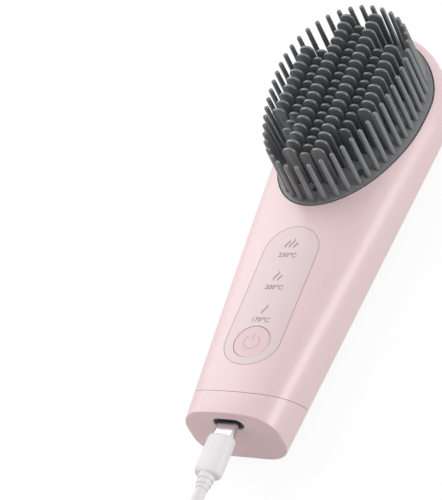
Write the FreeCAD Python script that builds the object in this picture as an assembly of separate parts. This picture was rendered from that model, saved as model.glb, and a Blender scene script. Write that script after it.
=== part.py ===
import FreeCAD
import Part
import math
import os
from FreeCAD import Vector

# Cordless heated styling brush, lying on its back with the bristles up.
# Millimetres. X is across the brush, +Y runs from the charging end to the head, +Z is the bristle side.

# Body
body_length = 182.0
body_thickness = 26.1
end_width = 35.7
head_width = 62.4
head_length = 40.0
front_crown_radius = 58.0
back_corner_radius = 10.0
side_flat = 0.9
tip_rounding_share = 0.85
wall = 1.8
corner_limit = 0.4

# Slanted end cap
seam_from_end_front = 8.8
seam_from_end_back = 19.7
seam_gap = 0.15
cap_end_wall = 2.2
spigot_length = 6.0
spigot_wall = 1.0
spigot_fit = 0.12
snap_height = 8.0
snap_width = 1.2
snap_rise = 0.45

# Control panel and power button
panel_width = 21.1
panel_from_end = 20.2
panel_to_pad = 10.1
panel_thickness = 1.0
panel_fit = 0.12
panel_ledge = 1.5
button_diameter = 13.2
button_in_panel = 9.8
button_clearance = 0.2
button_sink = 0.15
button_travel = 0.4
flange_width = 1.0
flange_thickness = 0.7
flange_clearance = 0.2
stem_diameter = 3.2
stem_length = 0.2

# Bristle pad
pad_length = 84.2
pad_widest_from_tip = 30.0
pad_tip_margin = 6.6
pad_side_margin = 3.8
pad_thickness = 2.0
pad_gap = 0.25
pad_screw_from_side = 13.5
pad_screw_from_edge = 16.9
pad_screw_diameter = 1.8
pad_screw_head = 3.6
pad_screw_head_height = 0.9
pad_screw_length = 8.0
screw_head_slope = 0.4
boss_diameter = 4.8
boss_drop = 0.3
ion_outlet_from_edge = 7.7
ion_outlet_diameter = 2.6
bush_length = 2.0
needle_diameter = 0.8
needle_tip = 0.2
needle_length = 0.8
needle_sink = 0.4

# Bristles
tip_height = 43.8
tip_crown_radius = 250.0
pin_count = 46
pin_inset = 2.4
pin_base_diameter = 2.5
pin_tip_diameter = 1.75
pin_sides = 8
socket_fit = 0.05
column_pitch = 11.4
row_pitch = 3.9
paddle_width = 5.4
paddle_thickness = 1.3
dome_steps = 8
tooth_drop = 2.3
tooth_width = 4.4
tooth_thickness = 1.3
field_margin = 4.6

# Heater under the pad
plate_drop = 4.8
plate_thickness = 2.0
plate_margin = 0.4
plate_pillar_gap = 0.8
plate_end_margin = 8.9
plate_side_gap = 1.8
plate_corner = 1.5
heater_side_margin = 1.0
heater_end_margin = 5.0
heater_thickness = 2.0
heater_corner = 0.8
clamp_margin = 1.0
clamp_thickness = 1.0
tray_wall = 1.4
tray_floor = 1.5
tray_clearance = 0.4
tray_rim_drop = 1.0
ear_thickness = 1.5
ear_diameter = 6.4
sensor_x = 12.2
sensor_side_room = 5.4
thermistor_diameter = 2.4
thermistor_length = 4.0
fuse_diameter = 2.8
fuse_length = 9.0
lead_diameter = 1.2
lead_spacing = 2.4
lead_solder_length = 3.0
lead_sides = 6
lead_notch_room = 1.0
lead_level_room = 0.6
ion_box_width = 24.0
ion_box_length = 16.0
ion_box_height = 8.0
ion_box_corner = 1.5

# Charging socket
port_width = 8.94
port_thickness = 3.16
port_wall = 0.3
port_length = 7.5
port_recess_width = 11.3
port_recess_height = 5.4
port_recess_depth = 1.0
port_fit = 0.15
tongue_width = 6.7
tongue_thickness = 0.7
tongue_setback = 1.2

# Board
board_thickness = 1.0
board_from_end = 2.8
board_neck_width = 12.6
board_neck_length = 14.0
board_width = 22.0
board_end_setback = 9.7
board_corner = 1.0
board_screw_x = 9.4
board_screw_inset = 3.5
board_screw_diameter = 1.7
board_screw_head = 3.0
board_screw_head_height = 0.8
board_screw_length = 5.0
screw_tip_room = 1.0
switch_width = 5.2
switch_height = 0.9
switch_corner = 0.4
plunger_diameter = 2.0
plunger_rise = 0.5
plunger_clearance = 0.1
lamp_count = 3
lamp_width = 3.2
lamp_length = 1.6
lamp_height = 0.7
guide_width = 6.0
guide_share = 0.4
guide_corner = 1.0
chip_from_screw = 7.5
capacitor_from_screw = 13.5
chip_width = 5.0
chip_height = 0.9
chip_x = 6.5
inductor_width = 4.2
capacitor_width = 1.6
capacitor_length = 3.2
capacitor_height = 0.8

# Cell and cradle
cell_from_end = 29.5
cell_clearance = 0.3
cell_headroom = 0.7
cell_rim = 0.6
tab_width = 5.0
tab_thickness = 0.3
tab_reach = 12.0
tab_solder_length = 6.0
cradle_width = 22.6
cradle_height = 14.0
cradle_overhang = 2.0
cradle_end_wall = 1.4
cradle_clearance = 0.2
cradle_foot_width = 12.0
cradle_to_tray = 3.2
post_width = 3.6
post_length = 5.0

# Charging lead
plug_shell_width = 8.25
plug_shell_thickness = 2.4
plug_shell_wall = 0.25
plug_shell_length = 6.65
plug_engaged = 1.2
grip_width = 9.8
grip_thickness = 6.4
grip_length = 15.5
grip_edge = 0.7
collar_front_diameter = 5.8
collar_rear_diameter = 4.9
collar_length = 5.55
collar_groove = 0.35
collar_groove_count = 2
cable_diameter = 4.0
cable_sides = 8
arc_share = 0.45
coil_turn_gap = 0.6
coil_start_x = -14.0
coil_outer_radius = 28.7
coil_lower_half_turns = 5
coil_upper_half_turns = 4
tie_width = 8.0
tie_thickness = 0.8
tie_clearance = 0.2
tie_slack = 1.4
tie_tab_length = 7.0
tie_corner = 1.2
supply_grip_width = 15.4
supply_grip_thickness = 8.2
supply_grip_length = 22.0
supply_grip_side_edge = 2.2
supply_grip_rear_edge = 1.5
supply_shell_width = 12.0
supply_shell_thickness = 4.5
supply_shell_wall = 0.3
supply_shell_length = 12.0
supply_window = 2.2

# Places that follow from the sizes above
end_y = -body_length / 2
tip_y = body_length / 2
head_start = body_length - head_length
taper_span = head_start**2 - head_length**2
taper_offset = end_width / 2 * head_start
taper_rise = (head_width**2 - end_width**2) / 4
taper = (math.sqrt(taper_offset**2 + taper_span * taper_rise) - taper_offset) / taper_span
far = 4 * body_thickness
pad_width = head_width - 2 * pad_side_margin
pad_y = tip_y - pad_tip_margin - pad_length / 2
pad_widest_y = tip_y - pad_tip_margin - pad_widest_from_tip
pad_screw_x = pad_width / 2 - pad_screw_from_side
pad_screw_y = pad_length / 2 - pad_screw_from_edge
ion_outlet_y = pad_length / 2 - ion_outlet_from_edge
panel_length = body_length - pad_tip_margin - pad_length - panel_to_pad - panel_from_end
panel_y = end_y + panel_from_end + panel_length / 2
button_y = end_y + panel_from_end + button_in_panel
flange_radius = button_diameter / 2 + flange_width
panel_under = body_thickness - front_crown_radius + math.sqrt(
    (front_crown_radius - panel_thickness) ** 2 - flange_radius**2
)
flange_bottom = panel_under - flange_clearance - flange_thickness
plunger_top = flange_bottom - stem_length
board_top = plunger_top - plunger_rise - switch_height
board_bottom = board_top - board_thickness
port_height = board_bottom - port_thickness / 2
lamp_field_start = button_y + flange_radius
lamp_field_end = end_y + panel_from_end + panel_length
lamp_pitch = (lamp_field_end - lamp_field_start) / lamp_count
plate_long_length = pad_length - 2 * plate_end_margin
plate_wide_length = 2 * (pad_screw_y - boss_diameter / 2 - tray_wall - tray_clearance - plate_pillar_gap)
plate_long_width = 2 * (pad_screw_x - boss_diameter / 2 - tray_wall - tray_clearance - plate_side_gap)
heater_width = min(plate_long_width / 2 - heater_side_margin, sensor_x - sensor_side_room) * 2
heater_length = plate_long_length - 2 * heater_end_margin
tray_start = pad_y - plate_long_length / 2 - tray_clearance - tray_wall
cell_start = end_y + cell_from_end
cell_diameter = board_bottom - wall - cell_clearance - cell_headroom
cell_length = tray_start - cradle_to_tray - cradle_overhang - cell_start
board_start = end_y + board_from_end
board_end = cell_start + cell_length - board_end_setback
plate_top = body_thickness - plate_drop
plate_bottom = plate_top - plate_thickness
heater_bottom = plate_bottom - heater_thickness
tray_top = plate_top - tray_rim_drop
tray_inside = heater_bottom - clamp_thickness
tray_bottom = tray_inside - tray_floor
plate_wide_width = 2 * column_pitch + tooth_width + 2 * plate_margin
grip_front = end_y + plug_engaged - plug_shell_length
grip_rear = grip_front - grip_length
collar_rear = grip_rear - collar_length
coil_end_x = coil_start_x + cable_diameter + coil_turn_gap

# Cable routes: down from the collar to the floor, and from the coil to the supply plug
lead_route = [
    (0.0, collar_rear, port_height),
    (0.0, -133.0, port_height),
    (coil_start_x, -161.0, 3.0),
    (coil_start_x, -177.0, 3.0),
]
tail_route = [
    (coil_end_x, -185.0, 7.6),
    (coil_end_x, -199.0, 7.6),
    (coil_end_x, -212.0, 4.6),
    (coil_end_x, -223.0, 4.6),
]

envelopes = {}


def crown_height(x, inset):
    """Height of the crowned front at x, measured the given inset under the surface."""
    radius = front_crown_radius - inset
    return body_thickness - front_crown_radius + math.sqrt(radius**2 - x**2)


def head_form(inset):
    """Half widths, ellipse centre and length of the plan outline, set in by the given inset."""
    half_end = end_width / 2 - inset * math.sqrt(1 + taper**2)
    half_head = head_width / 2 - inset
    length = body_length - inset
    centre = (half_head**2 + (taper * length) ** 2 - half_end**2) / (2 * taper * (half_end + taper * length))
    return half_end, half_head, centre, length - centre


def front_corner_radius():
    """Rounding between crown and side that leaves the side flat at the widest place."""
    half = head_width / 2
    rise = back_corner_radius + side_flat - body_thickness + front_crown_radius
    radius = (front_crown_radius**2 - half**2 - rise**2) / (2 * (front_crown_radius - half))
    tip_radius = half**2 / head_form(0)[3]
    return min(radius, tip_rounding_share * tip_radius)


def plan_outline(inset):
    """Tapered sides that run into an elliptical head, carried on past the flat end."""
    half_end, half_head, centre, head_length = head_form(inset)
    touch = centre - taper * head_length**2 / (half_end + taper * centre)
    half_touch = half_end + taper * touch
    start = -spigot_length
    half_start = half_end + taper * start
    head = Part.Ellipse(
        Vector(0, end_y + centre + head_length, inset),
        Vector(half_head, end_y + centre, inset),
        Vector(0, end_y + centre, inset),
    )
    right = Vector(half_touch, end_y + touch, inset)
    left = Vector(-half_touch, end_y + touch, inset)
    arc = Part.Arc(head, head.parameter(right), head.parameter(left)).toShape()
    middle = arc.valueAt((arc.FirstParameter + arc.LastParameter) / 2)
    if middle.y < end_y + centre:
        arc = Part.Arc(head, head.parameter(left), head.parameter(right)).toShape()
    low_right = Vector(half_start, end_y + start, inset)
    low_left = Vector(-half_start, end_y + start, inset)
    edges = [
        Part.makeLine(low_left, low_right),
        Part.makeLine(low_right, right),
        arc,
        Part.makeLine(left, low_left),
    ]
    return Part.Face(Part.Wire(Part.__sortEdges__(edges)))


def envelope(inset):
    """The outer form of the body, or a form set in from it: flat back, rounded sides, crowned front."""
    key = round(inset, 4)
    if key not in envelopes:
        slab = plan_outline(inset).extrude(Vector(0, 0, body_thickness))
        radius = front_crown_radius - inset
        axis_start = Vector(0, end_y - far, body_thickness - front_crown_radius)
        crown = Part.makeCylinder(radius, body_length + 2 * far, axis_start, Vector(0, 1, 0))
        form = slab.common(crown)
        cut_end = end_y - spigot_length + 0.01
        low = [e for e in form.Edges if e.BoundBox.YMax > cut_end and abs(e.BoundBox.ZMax - inset) < 0.001]
        form = form.makeFillet(back_corner_radius - inset, low)
        above = back_corner_radius + side_flat / 2
        high = [e for e in form.Edges if e.BoundBox.YMax > cut_end and e.BoundBox.ZMin > above]
        envelopes[key] = form.makeFillet(front_corner_radius() - inset, high)
    return envelopes[key]


def box(width, length, height, x, y, z):
    """Block centred on x and y, standing on z."""
    return Part.makeBox(width, length, height, Vector(x - width / 2, y - length / 2, z))


def rounded_box(width, length, height, x, y, z, radius):
    """Block with rounded upright edges, as round as a narrow block allows."""
    radius = min(radius, corner_limit * min(width, length))
    block = box(width, length, height, x, y, z)
    upright = [e for e in block.Edges if e.BoundBox.ZLength > height * 0.9]
    return block.makeFillet(radius, upright)


def rod(diameter, height, x, y, z):
    """Upright cylinder standing on z."""
    return Part.makeCylinder(diameter / 2, height, Vector(x, y, z))


def side_rod(diameter, length, x, y, z):
    """Cylinder along Y, from y onwards."""
    return Part.makeCylinder(diameter / 2, length, Vector(x, y, z), Vector(0, 1, 0))


def slot_face(width, height, x, y, z):
    """Round-ended slot outline in an upright plane across Y."""
    radius = height / 2
    reach = width / 2 - radius
    a = Vector(x - reach, y, z - radius)
    b = Vector(x + reach, y, z - radius)
    c = Vector(x + reach, y, z + radius)
    d = Vector(x - reach, y, z + radius)
    right = Part.Arc(b, Vector(x + width / 2, y, z), c).toShape()
    left = Part.Arc(d, Vector(x - width / 2, y, z), a).toShape()
    return Part.Face(Part.Wire([Part.makeLine(a, b), right, Part.makeLine(c, d), left]))


def slot_bar(width, height, x, y, z, length):
    """Round-ended bar along +Y."""
    return slot_face(width, height, x, y, z).extrude(Vector(0, length, 0))


def before_seam(offset):
    """Everything on the charging side of the slanted seam, moved towards the head by the offset."""
    slope = (seam_from_end_front - seam_from_end_back) / body_thickness
    shift = offset * math.sqrt(1 + slope**2)
    foot = end_y + seam_from_end_back + shift
    points = [
        Vector(-far, end_y - far, -far),
        Vector(-far, foot - far * slope, -far),
        Vector(-far, foot + far * slope, far),
        Vector(-far, end_y - far, far),
    ]
    return Part.Face(Part.makePolygon(points + points[:1])).extrude(Vector(2 * far, 0, 0))


def panel_prism(growth):
    """Stadium of the control panel, grown by the given amount, from the middle of the body up."""
    half = panel_width / 2 + growth
    reach = panel_length / 2 - panel_width / 2
    base = body_thickness / 2
    a = Vector(half, panel_y - reach, base)
    b = Vector(half, panel_y + reach, base)
    c = Vector(-half, panel_y + reach, base)
    d = Vector(-half, panel_y - reach, base)
    far_end = Part.Arc(b, Vector(0, panel_y + reach + half, base), c).toShape()
    near_end = Part.Arc(d, Vector(0, panel_y - reach - half, base), a).toShape()
    face = Part.Face(Part.Wire([Part.makeLine(a, b), far_end, Part.makeLine(c, d), near_end]))
    return face.extrude(Vector(0, 0, body_thickness))


def pad_reach(growth):
    """Half width of the pad's outline, and its reach from the widest place to the tip and to the handle."""
    to_tip = pad_widest_from_tip + growth
    to_handle = pad_length - pad_widest_from_tip + growth
    return pad_width / 2 + growth, to_tip, to_handle


def half_ellipse(half_width, reach, z):
    """Half an ellipse across the pad's widest place, towards the tip for a positive reach."""
    centre = Vector(0, pad_widest_y, z)
    right = centre + Vector(half_width, 0, 0)
    left = centre - Vector(half_width, 0, 0)
    end = centre + Vector(0, reach, 0)
    whole = Part.Ellipse(end, right, centre) if abs(reach) > half_width else Part.Ellipse(right, end, centre)
    ends = (right, left) if reach > 0 else (left, right)
    half = Part.Arc(whole, whole.parameter(ends[0]), whole.parameter(ends[1])).toShape()
    if (half.valueAt((half.FirstParameter + half.LastParameter) / 2).y - pad_widest_y) * reach < 0:
        half = Part.Arc(whole, whole.parameter(ends[1]), whole.parameter(ends[0])).toShape()
    return half


def pad_outline(growth, z):
    """Egg-shaped plan outline of the bristle pad, grown by the given amount."""
    half_width, to_tip, to_handle = pad_reach(growth)
    return Part.Wire([half_ellipse(half_width, to_tip, z), half_ellipse(half_width, -to_handle, z)])


def pad_prism(growth):
    """Upright column over the pad's outline, from the back corner rounding up."""
    return Part.Face(pad_outline(growth, back_corner_radius)).extrude(Vector(0, 0, body_thickness))


def pad_screw_places():
    """The four screws of the pad."""
    return [(x, pad_y + y) for x in (-pad_screw_x, pad_screw_x) for y in (-pad_screw_y, pad_screw_y)]


def ear_top():
    """Flat level where the pad's bosses press on the heater tray's ears, under the lowest pad edge there."""
    low_x = pad_screw_x + ear_diameter / 2
    low_y = pad_y + pad_screw_y + ear_diameter / 2
    return surface_height(envelope(pad_thickness), low_x, low_y) - boss_drop


def snap_ridge(side, growth):
    """Ridge on the cap's spigot that clicks into the sleeve."""
    y = end_y + (seam_from_end_front + seam_from_end_back) / 2 + spigot_length / 2
    surface = end_width / 2 + taper * (y - end_y) - wall - spigot_fit
    depth = spigot_wall / 2 + spigot_fit + snap_rise + growth
    x = side * (surface - spigot_wall / 2 + depth / 2)
    height = snap_height + 2 * growth
    return box(depth, snap_width + 2 * growth, height, x, y, body_thickness / 2 - height / 2)


def sleeve():
    """One-piece body sleeve with the pad opening, the panel recess and the screw pillars."""
    shell = envelope(0).cut(envelope(wall))
    shell = shell.cut(before_seam(seam_gap))
    shell = shell.cut(pad_prism(pad_gap))
    shell = shell.cut(panel_prism(panel_fit).cut(envelope(panel_thickness)))
    shell = shell.cut(panel_prism(-panel_ledge))
    for side in (-1, 1):
        shell = shell.cut(snap_ridge(side, spigot_fit))
    pillar_top = ear_top() - ear_thickness
    for x, y in pad_screw_places():
        shell = shell.fuse(rod(boss_diameter, pillar_top - wall / 2, x, y, wall / 2))
        shell = shell.cut(rod(pad_screw_diameter, pad_screw_length, x, y, pillar_top - pad_screw_length))
    return shell.removeSplitter()


def end_cap():
    """Slanted cap with its spigot, snap ridges and the charging opening."""
    inner = wall + spigot_fit + spigot_wall
    base = envelope(0).common(before_seam(0))
    ahead = before_seam(spigot_length).cut(before_seam(-spigot_wall))
    cap = base.fuse(envelope(wall + spigot_fit).common(ahead))
    cavity = envelope(inner).cut(box(far, far, far, 0, end_y + cap_end_wall - far / 2, -far / 2))
    cap = cap.cut(cavity)
    for side in (-1, 1):
        cap = cap.fuse(snap_ridge(side, 0))
    cap = cap.cut(box(far, far, 2 * far, 0, end_y - far / 2, -far))
    depth = far + port_recess_depth
    recess = slot_bar(port_recess_width, port_recess_height, 0, end_y - far, port_height, depth)
    opening = slot_bar(
        port_width + 2 * port_fit, port_thickness + 2 * port_fit, 0, end_y, port_height, cap_end_wall + 1
    )
    return cap.cut(recess).cut(opening).removeSplitter()


def control_panel():
    """Flush inlay with the hole for the power button."""
    plate = envelope(0).common(panel_prism(0)).cut(envelope(panel_thickness))
    hole = button_diameter + 2 * button_clearance
    return plate.cut(rod(hole, body_thickness, 0, button_y, body_thickness / 2))


def power_button():
    """Round button with a flange that keeps it in the panel and a stem on the switch."""
    flange_top = flange_bottom + flange_thickness
    cap = rod(button_diameter, body_thickness, 0, button_y, flange_top).common(envelope(button_sink))
    flange = rod(2 * flange_radius, flange_thickness, 0, button_y, flange_bottom)
    stem = rod(stem_diameter, stem_length, 0, button_y, plunger_top)
    return cap.fuse(flange).fuse(stem).removeSplitter()


def button_switch():
    """Low switch body with the bore of its plunger."""
    body = rounded_box(switch_width, switch_width, switch_height, 0, button_y, board_top, switch_corner)
    return body.cut(rod(plunger_diameter + 2 * plunger_clearance, switch_height, 0, button_y, board_top))


def switch_plunger():
    """Plunger that the button pushes down."""
    length = plunger_rise + switch_height - button_travel - plunger_clearance
    return rod(plunger_diameter, length, 0, button_y, plunger_top - length)


def surface_height(form, x, y):
    """Height of the front of a form above x, y."""
    line = Part.makeLine(Vector(x, y, back_corner_radius), Vector(x, y, 2 * body_thickness))
    return line.common(form).BoundBox.ZMax


def tip_at(x):
    """Height of the bristle tips, which follow a gentle crown."""
    return tip_height - tip_crown_radius + math.sqrt(tip_crown_radius**2 - x**2)


def pin_places():
    """Pins spaced evenly along the pad's outline, a little inside its edge."""
    ring = pad_outline(-pin_inset, 0)
    return [(p.x, p.y) for p in ring.discretize(Number=pin_count + 1)[:-1]]


def ring_of_points(diameter, x, y, z):
    """Corners of a regular outline around a pin."""
    turn = 2 * math.pi / pin_sides
    points = [
        Vector(x + diameter / 2 * math.cos(k * turn), y + diameter / 2 * math.sin(k * turn), z)
        for k in range(pin_sides)
    ]
    return Part.makePolygon(points + points[:1])


def guard_pin(x, y):
    """Tapered pin with a blunt tip, seated in the pad."""
    foot = surface_height(envelope(pad_thickness), x, y)
    top = tip_at(x)
    shoulder = top - pin_tip_diameter / 2
    rings = [
        ring_of_points(pin_base_diameter, x, y, foot),
        ring_of_points(pin_tip_diameter, x, y, shoulder),
        ring_of_points(pin_tip_diameter / 2, x, y, top),
    ]
    return Part.makeLoft(rings, True, True)


def columns(tall):
    """Bristle columns across the pad: outer and inner tall ones, with the heated ones between them."""
    if tall:
        return [column_pitch * k / 2 for k in (-3, -1, 1, 3)]
    return [column_pitch * k for k in (-1, 0, 1)]


def row_places(x, tall):
    """Rows of one column that stay inside the ring of pins, and on the heating plate for the heated ones."""
    half_width, to_tip, to_handle = pad_reach(-field_margin)
    reach = abs(x) + (paddle_width if tall else tooth_width) / 2
    if reach >= half_width:
        return []
    narrowing = math.sqrt(1 - (reach / half_width) ** 2)
    first = pad_widest_y - to_handle * narrowing - pad_y
    last = pad_widest_y + to_tip * narrowing - pad_y
    if not tall:
        length = plate_long_length if reach < plate_long_width / 2 else plate_wide_length
        first = max(first, (tooth_thickness - length) / 2)
        last = min(last, (length - tooth_thickness) / 2)
    steps = range(math.ceil(first / row_pitch), math.floor(last / row_pitch) + 1)
    rows = [pad_y + k * row_pitch for k in steps]
    room = math.hypot(paddle_width, paddle_thickness) / 2 + pad_screw_head / 2
    return [y for y in rows if all(math.hypot(x - a, y - b) > room for a, b in pad_screw_places())]


def paddle(x, y, width, thickness, foot, top):
    """Flat upright tooth with a fully rounded top, drawn with a few straight steps."""
    half = width / 2
    near = y - thickness / 2
    outline = [Vector(x - half, near, foot), Vector(x + half, near, foot)]
    for k in range(dome_steps + 1):
        angle = math.pi * k / dome_steps
        outline.append(Vector(x + half * math.cos(angle), near, top - half + half * math.sin(angle)))
    return Part.Face(Part.makePolygon(outline + outline[:1])).extrude(Vector(0, thickness, 0))


def paddle_places(tall):
    """Centres of all tall paddles or of all heated teeth."""
    return [(x, y) for x in columns(tall) for y in row_places(x, tall)]


def guard_pins():
    """Ring of round pins that keeps the heated teeth off the skin."""
    return Part.makeCompound([guard_pin(x, y) for x, y in pin_places()])


def tall_paddles():
    """Tall flat bristles seated in the pad."""
    made = []
    for x, y in paddle_places(True):
        foot = crown_height(abs(x) + paddle_width / 2, pad_thickness)
        made.append(paddle(x, y, paddle_width, paddle_thickness, foot, tip_at(x)))
    return Part.makeCompound(made)


def heated_teeth():
    """Shorter teeth that stand on the heating plate and pass through the pad."""
    made = []
    for x, y in paddle_places(False):
        made.append(paddle(x, y, tooth_width, tooth_thickness, plate_top, tip_at(x) - tooth_drop))
    return Part.makeCompound(made)


def socket(x, y, width, thickness):
    """Slot in the pad for one paddle or tooth."""
    return box(width + 2 * socket_fit, thickness + 2 * socket_fit, far, x, y, back_corner_radius)


def bristle_pad():
    """Crowned pad, flush with the body, with a socket for every bristle and bosses for its screws."""
    pad = envelope(0).common(pad_prism(0)).cut(envelope(pad_thickness))
    cuts = [socket(x, y, paddle_width, paddle_thickness) for x, y in paddle_places(True)]
    cuts += [socket(x, y, tooth_width, tooth_thickness) for x, y in paddle_places(False)]
    for x, y in pin_places():
        outline = ring_of_points(pin_base_diameter + 2 * socket_fit, x, y, back_corner_radius)
        cuts.append(Part.Face(outline).extrude(Vector(0, 0, far)))
    for side in (-1, 1):
        cuts.append(rod(ion_outlet_diameter, far, 0, pad_y + side * ion_outlet_y, back_corner_radius))
    for x, y in pad_screw_places():
        level = ear_top()
        boss = rod(boss_diameter, body_thickness - level, x, y, level).common(envelope(pad_thickness / 2))
        pad = pad.fuse(boss)
        cuts.append(rod(pad_screw_diameter + 2 * socket_fit, far, x, y, back_corner_radius))
        cuts.append(rod(pad_screw_head + 2 * socket_fit, far, x, y, screw_seat(x, y)))
    return pad.cut(cuts).removeSplitter()


def screw_seat(x, y):
    """Flat seat of one pad screw's head, sunk under the lowest edge of the surface round it."""
    reach = pad_screw_head / 2
    low_x = x + math.copysign(reach, x)
    low_y = y + math.copysign(reach, y - pad_y)
    return surface_height(envelope(0), low_x, low_y) - pad_screw_head_height


def screw(diameter, head, head_height, length, x, y, seat):
    """Pan-head screw with its head on the seat."""
    body = rod(head, head_height, x, y, seat)
    upper = [e for e in body.Edges if e.BoundBox.ZMin > seat + head_height * 0.9]
    body = body.makeChamfer(head_height * screw_head_slope, upper)
    return body.fuse(rod(diameter, length, x, y, seat - length)).removeSplitter()


def pad_screws():
    """Screws through the pad and the tray's ears into the sleeve's pillars."""
    made = []
    for x, y in pad_screw_places():
        seat = screw_seat(x, y)
        length = seat - ear_top() + ear_thickness + pad_screw_length - screw_tip_room
        made.append(screw(pad_screw_diameter, pad_screw_head, pad_screw_head_height, length, x, y, seat))
    return Part.makeCompound(made)


def stepped_block(growth, z, height):
    """Wide middle and narrow ends, the plan of the heating plate, grown by the given amount."""
    corner = plate_corner + growth
    wide = rounded_box(
        plate_wide_width + 2 * growth, plate_wide_length + 2 * growth, height, 0, pad_y, z, corner
    )
    narrow = rounded_box(
        plate_long_width + 2 * growth, plate_long_length + 2 * growth, height, 0, pad_y, z, corner
    )
    return wide.fuse(narrow).removeSplitter()


def heating_plate():
    """Cast plate that carries the heated teeth."""
    return stepped_block(0, plate_bottom, plate_thickness)


def ceramic_heater():
    """Flat ceramic heating element under the plate."""
    return rounded_box(heater_width, heater_length, heater_thickness, 0, pad_y, heater_bottom, heater_corner)


def heater_clamp():
    """Sprung clamp sheet between the heater and the tray."""
    sheet = rounded_box(
        heater_width + 2 * clamp_margin,
        heater_length + 2 * clamp_margin,
        clamp_thickness,
        0,
        pad_y,
        tray_inside,
        heater_corner + clamp_margin,
    )
    for side in (-1, 1):
        y = pad_y + side * heater_length / 4
        window = rounded_box(
            heater_width / 2, heater_length / 4, clamp_thickness, 0, y, tray_inside, heater_corner
        )
        sheet = sheet.cut(window)
    return sheet


def insulation_tray():
    """Heat-proof tray under the heater, with four ears clamped by the pad's screws."""
    outer = stepped_block(tray_clearance + tray_wall, tray_bottom, tray_top - tray_bottom)
    inner = stepped_block(tray_clearance, tray_inside, plate_top)
    level = ear_top() - ear_thickness
    for x, y in pad_screw_places():
        side_wall = pad_y + math.copysign(plate_wide_length / 2 + tray_clearance, y - pad_y)
        arm = box(ear_diameter / 2, abs(y - side_wall), ear_thickness, x, (y + side_wall) / 2, level)
        outer = outer.fuse(rod(ear_diameter, ear_thickness, x, y, level)).fuse(arm)
    tray = outer.cut(inner)
    for x, y in pad_screw_places():
        tray = tray.cut(rod(pad_screw_diameter + 2 * socket_fit, far, x, y, back_corner_radius))
    notch = lead_spacing + lead_diameter + 2 * lead_notch_room
    tray = tray.cut(box(notch, plate_long_length, far, 0, pad_y - plate_long_length / 2, tray_inside))
    return tray.removeSplitter()


def thermistor():
    """Temperature sensor bead against the plate."""
    z = plate_bottom - thermistor_diameter / 2
    return side_rod(thermistor_diameter, thermistor_length, sensor_x, pad_y - thermistor_length / 2, z)


def thermal_fuse():
    """Cut-out fuse against the plate, on the other side."""
    z = plate_bottom - fuse_diameter / 2
    return side_rod(fuse_diameter, fuse_length, -sensor_x, pad_y - fuse_length / 2, z)


def ion_emitters():
    """Needles in their bushes, under the two outlets of the pad."""
    made = []
    for side in (-1, 1):
        y = pad_y + side * ion_outlet_y
        surface = surface_height(envelope(0), 0, y)
        bush_top = surface - needle_length - needle_sink
        bush = rod(ion_outlet_diameter - 2 * socket_fit, bush_length, 0, y, bush_top - bush_length)
        needle = Part.makeCone(needle_diameter / 2, needle_tip / 2, needle_length, Vector(0, y, bush_top))
        made.append(bush.fuse(needle))
    return Part.makeCompound(made)


def ion_generator():
    """Potted high-voltage block on the back of the head."""
    return rounded_box(ion_box_width, ion_box_length, ion_box_height, 0, pad_y, wall, ion_box_corner)


def battery_cell():
    """Round cell along the handle."""
    can = side_rod(cell_diameter, cell_length, 0, cell_start, cell_axis())
    rims = [e for e in can.Edges if e.BoundBox.YLength < 0.01]
    return can.makeChamfer(cell_rim, rims)


def cell_axis():
    """Height of the cell's axis over the cradle."""
    return wall + cell_clearance + cell_diameter / 2


def battery_tabs():
    """Welded strips from the cell's ends up to the board."""
    low = board_bottom - tab_reach
    cell_end = cell_start + cell_length
    near = box(tab_width, tab_thickness, tab_reach, 0, cell_start - tab_thickness / 2, low)
    upright = box(tab_width, tab_thickness, tab_reach, 0, cell_end + tab_thickness / 2, low)
    strip_length = board_end_setback + tab_solder_length + tab_thickness
    strip_y = cell_end + tab_thickness - strip_length / 2
    strip = box(tab_width, strip_length, tab_thickness, 0, strip_y, board_bottom - tab_thickness)
    return Part.makeCompound([near, upright.fuse(strip).removeSplitter()])


def board_screw_places():
    """Screws along both edges of the wide part of the board."""
    first = cell_start - cradle_overhang + post_length / 2
    last = board_end - board_screw_inset
    return [(x, y) for x in (-board_screw_x, board_screw_x) for y in (first, last)]


def battery_cradle():
    """Cradle that holds the cell and carries the board on four posts."""
    length = cell_length + 2 * cradle_overhang
    y = cell_start + cell_length / 2
    body = box(cradle_width, length, cradle_height - wall, 0, y, wall)
    for x, place in board_screw_places():
        body = body.fuse(box(post_width, post_length, board_bottom - wall, x, place, wall))
    bore_length = length - 2 * cradle_end_wall
    bore = side_rod(cell_diameter + 2 * cell_clearance, bore_length, 0, y - bore_length / 2, cell_axis())
    body = body.common(envelope(wall + cradle_clearance))
    body = body.fuse(box(cradle_foot_width, length, 2 * cradle_clearance, 0, y, wall)).cut(bore)
    hole_bottom = board_bottom - board_screw_length
    for x, place in board_screw_places():
        body = body.cut(rod(board_screw_diameter, board_screw_length, x, place, hole_bottom))
    return body.removeSplitter()


def control_board():
    """Circuit board with a narrow neck that reaches into the end cap."""
    wide_start = board_start + board_neck_length
    wide_length = board_end - wide_start
    neck_length = board_neck_length + board_thickness
    neck = box(board_neck_width, neck_length, board_thickness, 0, board_start + neck_length / 2, board_bottom)
    wide = rounded_box(
        board_width, wide_length, board_thickness, 0, wide_start + wide_length / 2, board_bottom, board_corner
    )
    board = neck.fuse(wide)
    for x, place in board_screw_places():
        board = board.cut(rod(board_screw_diameter + 2 * socket_fit, board_thickness, x, place, board_bottom))
    return board.removeSplitter()


def board_screws():
    """Screws that hold the board on the cradle's posts."""
    length = board_thickness + board_screw_length - screw_tip_room
    made = [
        screw(board_screw_diameter, board_screw_head, board_screw_head_height, length, x, y, board_top)
        for x, y in board_screw_places()
    ]
    return Part.makeCompound(made)


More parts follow.
